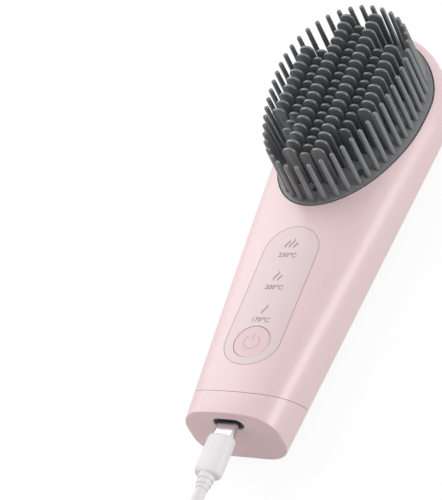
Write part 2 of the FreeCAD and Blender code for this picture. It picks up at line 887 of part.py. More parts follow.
def board_components():
    """Chips, coil and capacitors on the board, clear of the switch and the lamps."""
    made = []
    for x, y in board_screw_places():
        if y < board_end - board_screw_inset:
            inner_x = math.copysign(chip_x, x)
            width = chip_width if x < 0 else inductor_width
            made.append(box(width, width, chip_height, inner_x, y + chip_from_screw, board_top))
            size = (capacitor_width, capacitor_length, capacitor_height)
            made.append(box(*size, inner_x, y + capacitor_from_screw, board_top))
    return Part.makeCompound(made)


def indicator_lamps():
    """Three small lamps behind the heat settings."""
    made = [box(lamp_width, lamp_length, lamp_height, 0, y, board_top) for y in lamp_places()]
    return Part.makeCompound(made)


def lamp_places():
    """One lamp for each heat setting, evenly spaced between the button and the panel's far end."""
    return [lamp_field_start + (k + 0.5) * lamp_pitch for k in range(lamp_count)]


def light_guides():
    """Clear blocks that carry each lamp's light to the panel."""
    made = []
    length = guide_share * lamp_pitch
    base = board_top + lamp_height
    top = crown_height(guide_width / 2, panel_thickness)
    for y in lamp_places():
        made.append(rounded_box(guide_width, length, top - base, 0, y, base, guide_corner))
    return Part.makeCompound(made)


def charging_port():
    """Metal socket shell under the end of the board."""
    y = end_y + port_recess_depth
    shell = slot_bar(port_width, port_thickness, 0, y, port_height, port_length)
    inside = slot_bar(
        port_width - 2 * port_wall, port_thickness - 2 * port_wall, 0, y, port_height, port_length - port_wall
    )
    return shell.cut(inside)


def port_tongue():
    """Contact tongue inside the socket."""
    length = port_length - port_wall - tongue_setback
    middle = end_y + port_recess_depth + tongue_setback + length / 2
    return box(tongue_width, length, tongue_thickness, 0, middle, port_height - tongue_thickness / 2)


def smooth_route(points):
    """Straight runs joined by tangent arcs that are as large as their two runs allow."""
    corners = [Vector(*p) for p in points]
    edges = []
    radii = []
    start = corners[0]
    for before, corner, after in zip(corners, corners[1:], corners[2:]):
        back = before - corner
        ahead = after - corner
        cut = arc_share * min(back.Length, ahead.Length)
        back.normalize()
        ahead.normalize()
        half_turn = (math.pi - back.getAngle(ahead)) / 2
        radius = cut / math.tan(half_turn)
        inward = back + ahead
        inward.normalize()
        first = corner + back * cut
        last = corner + ahead * cut
        middle = corner + inward * (radius / math.cos(half_turn) - radius)
        edges.append(Part.LineSegment(start, first).toShape())
        edges.append(Part.Arc(first, middle, last).toShape())
        radii.append(radius)
        start = last
    edges.append(Part.LineSegment(start, corners[-1]).toShape())
    return Part.Wire(edges), radii


def tube_section(diameter, sides):
    """Area of a tube's many-sided section."""
    return sides * diameter**2 / 8 * math.sin(2 * math.pi / sides)


def tube(path, diameter, sides):
    """Tube along a path that leaves along Y, with a many-sided section inside the given diameter."""
    first = path.Edges[0]
    centre = first.valueAt(first.FirstParameter)
    turn = 2 * math.pi / sides
    corners = []
    for k in range(sides):
        angle = (k + 0.5) * turn
        corners.append(centre + Vector(math.sin(angle), 0, math.cos(angle)) * (diameter / 2))
    return path.makePipeShell([Part.makePolygon(corners + corners[:1])], True, False)


def report_tube(name, path, shape, radii):
    """Print a cord's length, radii and how its volume compares with section times length."""
    share = shape.Volume / (tube_section(cable_diameter, cable_sides) * path.Length)
    rounded = [round(radius, 1) for radius in radii]
    print(name, "length", round(path.Length, 1), "radii", rounded, "volume", round(share, 4))


def heater_leads():
    """Two insulated wires from the board to the heater."""
    start = board_end - lead_solder_length
    stop = pad_y - heater_length / 2
    high = board_top + lead_diameter / 2
    low = heater_bottom + heater_thickness / 2
    cell_end = cell_start + cell_length
    level = tray_start - lead_level_room
    made = []
    for x in (-lead_spacing / 2, lead_spacing / 2):
        route = [(x, start, high), (x, cell_end, high), (x, level, low), (x, stop, low)]
        made.append(tube(smooth_route(route)[0], lead_diameter, lead_sides))
    return Part.makeCompound(made)


def plug_shell():
    """Metal shell of the plug, part-way out of the socket."""
    shell = slot_bar(plug_shell_width, plug_shell_thickness, 0, grip_front, port_height, plug_shell_length)
    inside = slot_bar(
        plug_shell_width - 2 * plug_shell_wall,
        plug_shell_thickness - 2 * plug_shell_wall,
        0,
        grip_front + plug_shell_wall,
        port_height,
        plug_shell_length,
    )
    return shell.cut(inside)


def plug_grip():
    """Moulded grip of the plug."""
    grip = slot_bar(grip_width, grip_thickness, 0, grip_rear, port_height, grip_length)
    ends = [e for e in grip.Edges if e.BoundBox.YLength < 0.01]
    return grip.makeChamfer(grip_edge, ends)


def cable_collar():
    """Tapered, grooved strain relief behind the grip."""
    steps = 2 * collar_groove_count + 1
    step = collar_length / steps
    front_radius = collar_front_diameter / 2
    rear_radius = collar_rear_diameter / 2
    slope = (rear_radius - front_radius) / steps
    points = [Vector(0, grip_rear, port_height), Vector(front_radius, grip_rear, port_height)]
    for k in range(1, steps):
        sunk = collar_groove if k % 2 else 0
        points.append(Vector(front_radius + slope * k - sunk, grip_rear - step * k, port_height))
    points += [Vector(rear_radius, collar_rear, port_height), Vector(0, collar_rear, port_height)]
    profile = Part.Face(Part.makePolygon(points + points[:1]))
    return profile.revolve(Vector(0, grip_rear, port_height), Vector(0, 1, 0), 360)


def charging_cable():
    """Free run of the cable from the collar down to the floor."""
    path, radii = smooth_route(lead_route)
    shape = tube(path, cable_diameter, cable_sides)
    report_tube("charging_cable", path, shape, radii)
    return shape


def half_circle(centre_x, centre_y, z, radius, right):
    """Half turn, by way of -Y to the right or by way of +Y to the left."""
    side = 1 if right else -1
    first = Vector(centre_x - side * radius, centre_y, z)
    middle = Vector(centre_x, centre_y - side * radius, z)
    last = Vector(centre_x + side * radius, centre_y, z)
    return [Part.Arc(first, middle, last).toShape()]


def climbing_half_turn(centre_x, centre_y, z, rise, radius, right):
    """Half turn that climbs by the rise, as two quarter circles round one centre at mid height."""
    side = 1 if right else -1
    centre = Vector(centre_x, centre_y, z + rise / 2)
    reach = math.sqrt(radius**2 + rise**2 / 4)
    first = Vector(centre_x - side * radius, centre_y, z)
    top = Vector(centre_x, centre_y - side * reach, z + rise / 2)
    last = Vector(centre_x + side * radius, centre_y, z + rise)
    edges = []
    for a, b in ((first, top), (top, last)):
        between = (a - centre) + (b - centre)
        between.normalize()
        edges.append(Part.Arc(a, centre + between * reach, b).toShape())
    return edges


def coil_path():
    """Spiral in on the floor, a climb, and a spiral out on top, with a straight stub at each end."""
    pitch = cable_diameter + coil_turn_gap
    start = Vector(*lead_route[-1])
    stub = Vector(0, -cable_diameter, 0)
    centre_y = start.y - cable_diameter
    radius = coil_outer_radius
    centre_x = start.x + radius
    z = start.z
    edges = [Part.LineSegment(start, start + stub).toShape()]
    right = True
    for k in range(coil_lower_half_turns):
        edges += half_circle(centre_x, centre_y, z, radius, right)
        centre_x += pitch / 2 if right else -pitch / 2
        radius -= pitch / 2
        right = not right
    edges += climbing_half_turn(centre_x, centre_y, z, pitch, radius, right)
    z += pitch
    for k in range(coil_upper_half_turns):
        centre_x -= pitch / 2 if right else -pitch / 2
        radius += pitch / 2
        right = not right
        edges += half_circle(centre_x, centre_y, z, radius, right)
    finish = edges[-1].Vertexes[-1].Point
    edges.append(Part.LineSegment(finish, finish + stub).toShape())
    return Part.Wire(edges)


def least_self_gap(path, diameter):
    """Least clear distance between turns, measured on points along the path."""
    points = path.discretize(Distance=diameter / 4)
    apart = int(2 * math.pi * diameter / (diameter / 4))
    gaps = [(points[i] - points[j]).Length for i in range(len(points)) for j in range(i + apart, len(points))]
    return min(gaps) - diameter


def cable_coil():
    """Stored length of the cable, wound in two layers."""
    path = coil_path()
    shape = tube(path, cable_diameter, cable_sides)
    report_tube("cable_coil", path, shape, [])
    print("cable_coil least gap to itself", round(least_self_gap(path, cable_diameter), 3))
    return shape


def cable_tail():
    """Last run of the cable, from the coil to the supply plug."""
    path, radii = smooth_route(tail_route)
    shape = tube(path, cable_diameter, cable_sides)
    report_tube("cable_tail", path, shape, radii)
    return shape


def cable_tie():
    """Strap round the coil's turns, with a short free tab."""
    start = Vector(*lead_route[-1])
    pitch = cable_diameter + coil_turn_gap
    inner_radius = coil_outer_radius - (coil_lower_half_turns - 1) * pitch / 2
    x = start.x + coil_outer_radius + pitch / 2
    centre_y = start.y - cable_diameter
    low_y = centre_y - coil_outer_radius - cable_diameter / 2 - tie_clearance
    high_y = centre_y - inner_radius + cable_diameter / 2 + tie_slack
    low_z = start.z - cable_diameter / 2 - tie_clearance
    high_z = start.z + pitch + cable_diameter / 2 + tie_clearance
    length = high_y - low_y
    height = high_z - low_z
    y = (low_y + high_y) / 2
    both = 2 * tie_thickness
    inner = strap_block(length, height, x, y, low_z, tie_corner)
    outer = strap_block(length + both, height + both, x, y, low_z - tie_thickness, tie_corner + tie_thickness)
    tab = box(tie_width, tie_tab_length, tie_thickness, x, high_y - tie_corner + tie_tab_length / 2, high_z)
    return outer.fuse(tab).cut(inner).removeSplitter()


def strap_block(length, height, x, y, z, corner):
    """Block as wide as the strap, rounded round the turns that it holds."""
    block = box(tie_width, length, height, x, y, z)
    return block.makeFillet(corner, [e for e in block.Edges if e.BoundBox.XLength > tie_width / 2])


def supply_grip():
    """Moulded grip of the plug at the other end."""
    end = Vector(*tail_route[-1])
    y = end.y - supply_grip_length / 2
    grip = box(supply_grip_width, supply_grip_length, supply_grip_thickness, end.x, y,
               end.z - supply_grip_thickness / 2)
    lengthwise = [e for e in grip.Edges if e.BoundBox.YLength > supply_grip_length * 0.9]
    grip = grip.makeFillet(supply_grip_side_edge, lengthwise)
    rear = [e for e in grip.Edges if e.BoundBox.YMin > end.y - 0.01]
    return grip.makeFillet(supply_grip_rear_edge, rear)


def supply_shell():
    """Rectangular metal shell of the supply plug with its two windows and contact block space."""
    end = Vector(*tail_route[-1])
    front = end.y - supply_grip_length
    y = front - supply_shell_length / 2
    shell = box(supply_shell_width, supply_shell_length, supply_shell_thickness, end.x, y,
                end.z - supply_shell_thickness / 2)
    hollow_length = supply_shell_length - supply_shell_wall
    hollow = box(
        supply_shell_width - 2 * supply_shell_wall,
        hollow_length,
        supply_shell_thickness / 2 - supply_shell_wall,
        end.x,
        y - supply_shell_wall / 2,
        end.z,
    )
    shell = shell.cut(hollow)
    for side in (-1, 1):
        x = end.x + side * supply_shell_width / 4
        window = box(supply_window, supply_window, supply_shell_thickness, x, y, end.z)
        shell = shell.cut(window)
    return shell


nodes = {
    "housing": sleeve,
    "end_cap": end_cap,
    "control_panel": control_panel,
    "power_button": power_button,
    "button_switch": button_switch,
    "switch_plunger": switch_plunger,
    "bristle_pad": bristle_pad,
    "guard_pins": guard_pins,
    "tall_paddles": tall_paddles,
    "heated_teeth": heated_teeth,
    "pad_screws": pad_screws,
    "heating_plate": heating_plate,
    "ceramic_heater": ceramic_heater,
    "heater_clamp": heater_clamp,
    "insulation_tray": insulation_tray,
    "thermistor": thermistor,
    "thermal_fuse": thermal_fuse,
    "heater_leads": heater_leads,
    "ion_emitters": ion_emitters,
    "ion_generator": ion_generator,
    "battery_cell": battery_cell,
    "battery_tabs": battery_tabs,
    "battery_cradle": battery_cradle,
    "control_board": control_board,
    "board_screws": board_screws,
    "board_components": board_components,
    "indicator_lamps": indicator_lamps,
    "light_guides": light_guides,
    "charging_port": charging_port,
    "port_tongue": port_tongue,
    "plug_shell": plug_shell,
    "plug_grip": plug_grip,
    "cable_collar": cable_collar,
    "charging_cable": charging_cable,
    "cable_coil": cable_coil,
    "cable_tail": cable_tail,
    "cable_tie": cable_tie,
    "supply_grip": supply_grip,
    "supply_shell": supply_shell,
}

os.makedirs("parts", exist_ok=True)
for name, make in nodes.items():
    make().exportStep("parts/" + name + ".step")
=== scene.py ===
import math

import bmesh
import bpy
from mathutils import Matrix, Vector
from mathutils.bvhtree import BVHTree


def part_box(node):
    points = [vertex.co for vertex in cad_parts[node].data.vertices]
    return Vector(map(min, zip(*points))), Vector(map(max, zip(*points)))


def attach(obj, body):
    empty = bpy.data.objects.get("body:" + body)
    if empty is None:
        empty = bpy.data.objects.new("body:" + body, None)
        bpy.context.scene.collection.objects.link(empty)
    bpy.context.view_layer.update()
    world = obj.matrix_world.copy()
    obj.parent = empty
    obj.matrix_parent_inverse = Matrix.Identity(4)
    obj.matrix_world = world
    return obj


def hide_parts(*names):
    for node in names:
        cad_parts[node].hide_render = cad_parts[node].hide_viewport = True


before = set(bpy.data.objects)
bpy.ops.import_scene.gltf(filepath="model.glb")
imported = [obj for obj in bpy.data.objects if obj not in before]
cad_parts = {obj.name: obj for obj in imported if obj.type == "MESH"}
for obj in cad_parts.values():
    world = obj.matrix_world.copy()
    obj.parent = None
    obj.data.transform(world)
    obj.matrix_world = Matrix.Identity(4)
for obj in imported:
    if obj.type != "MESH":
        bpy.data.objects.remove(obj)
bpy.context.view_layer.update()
scene = bpy.context.scene
scene.view_settings.view_transform = "Standard"


# View, table and light
# The brush lies on its back on a white studio table, seen three-quarters from the charging end. A soft box
# and a card on the left, a low panel on the right and a faint pink fill in front light it, in a pale room.


def linear(code):
    """Linear colour of an sRGB hex value."""
    parts = [int(code[i : i + 2], 16) / 255 for i in (1, 3, 5)]
    return [c / 12.92 if c <= 0.04045 else ((c + 0.055) / 1.055) ** 2.4 for c in parts] + [1.0]


def add_node(tree, kind, inputs=None, **settings):
    """Adds one node with its settings, and gives its inputs values or links."""
    node = tree.nodes.new(kind)
    for name, value in settings.items():
        setattr(node, name, value)
    for name, value in (inputs or {}).items():
        if isinstance(value, bpy.types.NodeSocket):
            tree.links.new(value, node.inputs[name])
        else:
            node.inputs[name].default_value = value
    return node


def blank_material(name):
    """A new material with an empty tree."""
    material = bpy.data.materials.new(name)
    material.use_nodes = True
    material.node_tree.nodes.clear()
    return material, material.node_tree


def background_rays(tree):
    """1 for rays that show the background, straight to the camera or by gloss or glass, and 0 for its light."""
    rays = add_node(tree, "ShaderNodeLightPath").outputs
    seen = rays["Is Camera Ray"]
    for kind in ("Is Glossy Ray", "Is Transmission Ray"):
        seen = add_node(tree, "ShaderNodeMath", {0: seen, 1: rays[kind]}, operation="MAXIMUM").outputs[0]
    return seen


# The photograph has the brush right of its middle and a little high, so the camera aims left of it and below.
middle = Vector((0, 0.0015, 0.0154))
towards_viewer = Vector((0.457, -0.5668, 0.6854))
picture_right = Vector((0.8891, 0.3143, -0.3328))
picture_up = Vector((-0.0268, 0.7615, 0.6476))
camera_distance = 0.806
aim_left = 0.03537
aim_below = 0.01019
camera_place = middle + camera_distance * towards_viewer
aim = middle - aim_left * picture_right - aim_below * picture_up
back = (camera_place - aim).normalized()
across = picture_up.cross(back).normalized()
upward = back.cross(across)
camera_data = bpy.data.cameras.new("camera")
camera_data.lens = 162.0
camera_data.sensor_width = 36
camera_data.clip_start = 0.01
camera = bpy.data.objects.new("camera", camera_data)
camera.matrix_world = Matrix((across, upward, back)).transposed().to_4x4()
camera.location = camera_place
scene.collection.objects.link(camera)
scene.camera = camera

# A matt white sheet: camera, gloss and glass see it all but white, and it keeps the brush's soft shadow.
white_table, tree = blank_material("white_table")
lit = add_node(tree, "ShaderNodeBsdfDiffuse", {"Color": linear("#C0C0C0")})
shade = add_node(tree, "ShaderNodeBsdfDiffuse", {"Color": linear("#6E6E6E")})
glow = add_node(tree, "ShaderNodeEmission", {"Color": linear("#FFFFFF"), "Strength": 0.88})
shown = add_node(tree, "ShaderNodeAddShader", {0: shade.outputs[0], 1: glow.outputs[0]})
seen = background_rays(tree)
both = add_node(tree, "ShaderNodeMixShader", {0: seen, 1: lit.outputs[0], 2: shown.outputs[0]})
add_node(tree, "ShaderNodeOutputMaterial", {"Surface": both.outputs[0]})
table_half = 3.0
table_top = -0.0002
table_corners = [(i * table_half, j * table_half, table_top) for i, j in ((-1, -1), (1, -1), (1, 1), (-1, 1))]
table_mesh = bpy.data.meshes.new("table")
table_mesh.from_pydata(table_corners, [], [(0, 1, 2, 3)])
table_mesh.materials.append(white_table)
table = bpy.data.objects.new("table", table_mesh)
scene.collection.objects.link(table)

world = bpy.data.worlds.new("studio")
world.use_nodes = True
scene.world = world
tree = world.node_tree
tree.nodes.clear()
room = add_node(tree, "ShaderNodeBackground", {"Color": linear("#F4F2F2"), "Strength": 0.56})
sky = add_node(tree, "ShaderNodeBackground", {"Color": linear("#FFFFFF"), "Strength": 1.0})
seen = background_rays(tree)
both = add_node(tree, "ShaderNodeMixShader", {0: seen, 1: room.outputs[0], 2: sky.outputs[0]})
add_node(tree, "ShaderNodeOutputWorld", {"Surface": both.outputs[0]})

# Each lamp has its place, width and height in metres, its power in watts and its colour.
lamps = {
    "soft_box": ((-0.62, 0.30, 0.62), 0.70, 0.80, 3.9, "#FFFFFF"),
    "side_panel": ((0.88, 0.16, 0.10), 0.62, 0.70, 5.5, "#FFFFFF"),
    "left_card": ((-0.80, 0.52, 0.12), 0.45, 0.60, 0.9, "#FFFFFF"),
    "front_fill": ((-0.36, -0.76, 0.48), 0.95, 0.95, 1.5, "#FFCFD3"),
}
for name, (place, width, height, power, tint) in lamps.items():
    lamp_data = bpy.data.lights.new(name, "AREA")
    lamp_data.shape = "RECTANGLE"
    lamp_data.size = width
    lamp_data.size_y = height
    lamp_data.energy = power
    lamp_data.color = linear(tint)[:3]
    lamp = bpy.data.objects.new(name, lamp_data)
    away = (Vector(place) - middle).normalized()
    side = Vector((0, 1, 0)).cross(away).normalized()
    lamp.matrix_world = Matrix((side, away.cross(side), away)).transposed().to_4x4()
    lamp.location = place
    scene.collection.objects.link(lamp)


# Body
# One injection-moulded sleeve of pink ABS with a flat back and a crowned front, closed by a slanted end cap
# that snaps into it. The tool is fine spark-eroded, so the plastic is satin, with a soft broad highlight.


def grained(name, pale, deep, patch, grain, rough, relief, stretch=(1, 1, 1), **shader):
    """A moulded, cast or rolled surface: two close colours in patches, and a grain that varies gloss and relief.

    Patch, grain and relief are in millimetres, and rough is the lowest and the highest roughness. The real grain
    is mostly finer than a tenth of a millimetre, and is drawn coarser so that it shows.
    """
    per_metre = 1000
    noise_low, noise_high = 0.3, 0.7
    bump_strength = 0.6
    material, tree = blank_material(name)
    place = add_node(tree, "ShaderNodeTexCoord").outputs["Object"]
    place = add_node(tree, "ShaderNodeMapping", {"Vector": place, "Scale": stretch}).outputs[0]
    cloud = add_node(tree, "ShaderNodeTexNoise", {"Vector": place, "Scale": per_metre / patch, "Detail": 2.0})
    fine = add_node(tree, "ShaderNodeTexNoise", {"Vector": place, "Scale": per_metre / grain, "Detail": 3.0})
    tones = {0: cloud.outputs[0], 6: linear(pale), 7: linear(deep)}
    colour = add_node(tree, "ShaderNodeMix", tones, data_type="RGBA")
    spread = {0: fine.outputs[0], 1: noise_low, 2: noise_high, 3: rough[0], 4: rough[1]}
    gloss = add_node(tree, "ShaderNodeMapRange", spread)
    height = {"Height": fine.outputs[0], "Strength": bump_strength, "Distance": relief / per_metre}
    bump = add_node(tree, "ShaderNodeBump", height)
    inputs = {"Base Color": colour.outputs[2], "Roughness": gloss.outputs[0], "Normal": bump.outputs[0]}
    inputs.update({key.replace("_", " "): value for key, value in shader.items()})
    surface = add_node(tree, "ShaderNodeBsdfPrincipled", inputs)
    add_node(tree, "ShaderNodeOutputMaterial", {"Surface": surface.outputs[0]})
    return material


def dress(material, *nodes):
    """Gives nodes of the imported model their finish."""
    for node in nodes:
        for material_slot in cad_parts[node].material_slots:
            material_slot.material = material


def finished(name, mesh, material, body, smooth_angle=None):
    """A mesh as a piece that rides on a body, with its finish, and smooth up to an angle."""
    mesh.materials.clear()
    mesh.materials.append(material)
    if smooth_angle is not None:
        mesh.shade_smooth()
        mesh.set_sharp_from_angle(angle=math.radians(smooth_angle))
    piece = bpy.data.objects.new(name, mesh)
    scene.collection.objects.link(piece)
    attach(piece, body)
    return piece


# ABS from a spark-eroded tool: its grain breaks every highlight into a soft sheen.
satin_pink_abs = grained(
    "satin_pink_abs", "#EBD2D4", "#E8CCCF",
    patch=26.0, grain=0.35, rough=(0.32, 0.42), relief=0.012, Specular_IOR_Level=0.95,
)
dress(satin_pink_abs, "housing", "end_cap")
# The cap's end is rubbed soft along its outline and round the charging opening, which draws a fine pale line.
worn_edge = 0.0006
worn_steps = 3
sharp_angle = 45
same_place = 1e-6
cap_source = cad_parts["end_cap"].data
mesh = bpy.data.meshes.new("soft_edged_cap")
mesh.from_pydata([v.co for v in cap_source.vertices], [], [list(p.vertices) for p in cap_source.polygons])
shape = bmesh.new()
shape.from_mesh(mesh)
bmesh.ops.remove_doubles(shape, verts=shape.verts, dist=same_place)
end_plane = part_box("end_cap")[0][1]
in_plane = [e for e in shape.edges if all(abs(v.co.y - end_plane) < same_place for v in e.verts)]
rim = [e for e in in_plane if e.calc_face_angle(0.0) > math.radians(sharp_angle)]
bmesh.ops.bevel(
    shape, geom=rim, offset=worn_edge, segments=worn_steps, profile=0.5, affect="EDGES", clamp_overlap=True
)
shape.to_mesh(mesh)
shape.free()
soft_edged_cap = finished("soft_edged_cap", mesh, satin_pink_abs, "brush", smooth_angle=25)
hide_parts("end_cap")


# Control panel
# A flush inlay of ABS in a greyer pink, with round ends, pressed into a ledge of the sleeve with a fine joint.
# It has the sleeve's crown, so what is printed on it or runs round it is drawn flat and laid on that crown.


def in_metres(value):
    """Metres of a size in millimetres."""
    return value / 1000


def in_millimetres(value):
    """Millimetres of a size in metres."""
    return value * 1000


def on_crown(mesh, lift):
    """Lays a flat mesh, drawn in millimetres, on the crowned front, raised by a height in millimetres."""
    crown_radius = 58.0
    body_height = 26.1
    crown_centre = body_height - crown_radius
    for vertex in mesh.vertices:
        x, y, _ = vertex.co
        height = crown_centre + math.sqrt(crown_radius**2 - x**2) + lift
        vertex.co = (in_metres(x), in_metres(y), in_metres(height))


def ribbon(shape, line, widths):
    """Adds a flat stroke along a line of points, as wide at each point as the list of widths says."""
    pairs = []
    for k, (x, y) in enumerate(line):
        before = Vector(line[max(k - 1, 0)])
        after = Vector(line[min(k + 1, len(line) - 1)])
        run = (after - before).normalized()
        side = Vector((-run.y, run.x)) * widths[k] / 2
        pairs.append([shape.verts.new((x + s * side.x, y + s * side.y, 0)) for s in (1, -1)])
    for (a, b), (c, d) in zip(pairs, pairs[1:]):
        shape.faces.new((b, d, c, a))


def mesh_of(name, shape):
    """A new mesh of a shape, which is then freed."""
    mesh = bpy.data.meshes.new(name)
    shape.to_mesh(mesh)
    shape.free()
    return mesh


# ABS from a finer tool: a greyer pink than the sleeve's, with the same soft sheen.
pale_panel_abs = grained(
    "pale_panel_abs", "#E5D3D4", "#E1CDCF",
    patch=20.0, grain=0.25, rough=(0.32, 0.40), relief=0.006, Specular_IOR_Level=0.7,
)
dress(pale_panel_abs, "control_panel")
# The joint round the inlay lies in shadow, and is drawn as a fine grey ribbon of painted shade.
joint_shade = grained(
    "joint_shade", "#B5A2A4", "#AD9A9C", patch=5.0, grain=0.2, rough=(0.6, 0.7), relief=0.002
)
# A ribbon of painted shade runs round the inlay's outline.
low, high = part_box("control_panel")
inlay_radius = in_millimetres(high[0] - low[0]) / 2
end_middles = [in_millimetres(high[1]) - inlay_radius, in_millimetres(low[1]) + inlay_radius]
joint_width = 0.26
joint_lift = 0.012
turn_steps = 24
line = []
for k, y in enumerate(end_middles):
    for step in range(turn_steps + 1):
        angle = math.pi * (k + step / turn_steps)
        line.append((inlay_radius * math.cos(angle), y + inlay_radius * math.sin(angle)))
line.append(line[0])
shape = bmesh.new()
ribbon(shape, line, [joint_width] * len(line))
mesh = mesh_of("inlay_joint", shape)
on_crown(mesh, joint_lift)
finished("inlay_joint", mesh, joint_shade, "brush")


# Heat settings
# Three heats in grey ink, pad-printed on the inlay from the charging end up: one, two and three heat waves, each
# over its temperature in plain figures. The film of ink is thin and follows the inlay's crown.

# Pad-printing ink: flat and dry, with small breaks where the print is thin.
grey_ink = grained("grey_ink", "#8B8082", "#9C9193", patch=0.8, grain=0.2, rough=(0.5, 0.62), relief=0.003)
# Sizes of the print, in millimetres.
print_lift = 0.03
charging_end = -91.0
wave_steps = 14
wave_height = 4.3
wave_swing = 0.36
wave_lean = 0.9
wave_pitch = 1.75
ink_width = 0.52
ink_end_share = 0.35
figures_size = 2.65
figures_boldness = 0.03
# Each setting has its figures, how far figures and waves are from the charging end, and its waves' lengths.
settings = [
    ("170℃", 39.3, 43.9, [1.0]),
    ("200℃", 53.6, 58.7, [1.0, 0.66]),
    ("230℃", 68.0, 73.4, [0.85, 1.0, 0.66]),
]
for figures, figures_from_end, waves_from_end, lengths in settings:
    heat = figures[:3]
    text = bpy.data.curves.new("figures_" + heat, "FONT")
    text.body = figures
    text.size = figures_size
    text.offset = figures_boldness
    text.align_x = "CENTER"
    text.align_y = "CENTER"
    text_object = bpy.data.objects.new("figures_" + heat, text)
    scene.collection.objects.link(text_object)
    depsgraph = bpy.context.evaluated_depsgraph_get()
    mesh = bpy.data.meshes.new_from_object(text_object.evaluated_get(depsgraph))
    bpy.data.objects.remove(text_object)
    for vertex in mesh.vertices:
        vertex.co.y += charging_end + figures_from_end
    on_crown(mesh, print_lift)
    finished("heat_figures_" + heat, mesh, grey_ink, "brush")
    shape = bmesh.new()
    for k, length in enumerate(lengths):
        x = (k - (len(lengths) - 1) / 2) * wave_pitch
        foot = charging_end + waves_from_end - wave_height / 2
        line = []
        widths = []
        for step in range(wave_steps + 1):
            share = step / wave_steps
            swing = wave_swing * math.sin(2 * math.pi * share) * length
            line.append((x - swing + wave_lean * (share * length - 0.5), foot + wave_height * length * share))
            widths.append(ink_width * (ink_end_share + (1 - ink_end_share) * math.sin(math.pi * share)))
        ribbon(shape, line, widths)
    mesh = mesh_of("heat_waves_" + heat, shape)
    on_crown(mesh, print_lift)
    finished("heat_waves_" + heat, mesh, grey_ink, "brush")


# Power button
# A separate round cap in the body's pink that sits in the inlay's opening and springs back from its switch.
# The on-off sign is a shallow moulded line, drawn flat on the cap and only a little darker, as painted shade of
# its groove.

# The sleeve's ABS from a plainer tool: a touch more matt than the sleeve.
button_pink_abs = grained(
    "button_pink_abs", "#EBD1D4", "#E8CCD0", patch=12.0, grain=0.3, rough=(0.36, 0.46), relief=0.01
)
dress(button_pink_abs, "power_button")
# The same ABS, one step darker as painted shade of the moulded line, and dull.
shaded_line_abs = grained(
    "shaded_line_abs", "#D8BEC1", "#D2B6BA", patch=6.0, grain=0.2, rough=(0.42, 0.5), relief=0.004
)
low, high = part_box("power_button")
button_y = in_millimetres(low[1] + high[1]) / 2
button_sink = 0.15
sign_radius = 2.9
sign_width = 0.5
sign_opening = 0.62
sign_steps = 40
bar_shares = (0.35, 0.6, 0.9, 1.2)
line = []
for step in range(sign_steps + 1):
    angle = math.pi / 2 + sign_opening + (2 * math.pi - 2 * sign_opening) * step / sign_steps
    line.append((sign_radius * math.cos(angle), button_y + sign_radius * math.sin(angle)))
bar = [(0, button_y + sign_radius * share) for share in bar_shares]
shape = bmesh.new()
ribbon(shape, line, [sign_width] * len(line))
ribbon(shape, bar, [sign_width] * len(bar))
mesh = mesh_of("power_sign", shape)
on_crown(mesh, print_lift - button_sink)
finished("power_sign", mesh, shaded_line_abs, "power_button")


# Bristle pad
# An egg-shaped pad of glass-filled nylon, dark grey to stand the heat, moulded with a socket for every bristle.
# It lies flush in the crowned head and four screws pull it down on the heater tray.

# Glass-filled nylon: the fibres near its skin leave it matt and faintly mottled.
dark_nylon = grained(
    "dark_nylon", "#7E8183", "#75787A", patch=8.0, grain=0.3, rough=(0.42, 0.55), relief=0.015
)
dress(dark_nylon, "bristle_pad")
pad_half_width = 0.0274
pad_to_tip = 0.03
pad_to_handle = 0.0542
pad_widest_y = 0.0544
# The gap between the pad and the sleeve is too narrow to see into, so its shade is drawn as a fine dark ribbon
# of painted shade.
gap_shade = grained("gap_shade", "#4A4244", "#40393B", patch=5.0, grain=0.2, rough=(0.6, 0.7), relief=0.002)
gap_near = 0.00027
gap_far = 0.00052
gap_lift = 0.00002
gap_steps = 144
above_body = 0.05
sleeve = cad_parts["housing"].data
sleeve_skin = BVHTree.FromPolygons([v.co for v in sleeve.vertices], [p.vertices for p in sleeve.polygons])
shape = bmesh.new()
pairs = []
for step in range(gap_steps):
    angle = 2 * math.pi * step / gap_steps
    pair = []
    for gap in (gap_near, gap_far):
        reach = gap + (pad_to_tip if math.sin(angle) > 0 else pad_to_handle)
        x = (pad_half_width + gap) * math.cos(angle)
        y = pad_widest_y + reach * math.sin(angle)
        skin = sleeve_skin.ray_cast(Vector((x, y, above_body)), Vector((0, 0, -1)))[0]
        pair.append(shape.verts.new((x, y, skin.z + gap_lift)))
    pairs.append(pair)
for (a, b), (c, d) in zip(pairs, pairs[1:] + pairs[:1]):
    shape.faces.new((a, b, d, c))
finished("pad_gap", mesh_of("pad_gap", shape), gap_shade, "brush")


# Guard pins
# A ring of round nylon pins along the pad's edge that keeps the heated teeth off the skin. Each tapers to a
# ball tip and is pressed into its socket. All bristles stand upright and end on one gentle crown.


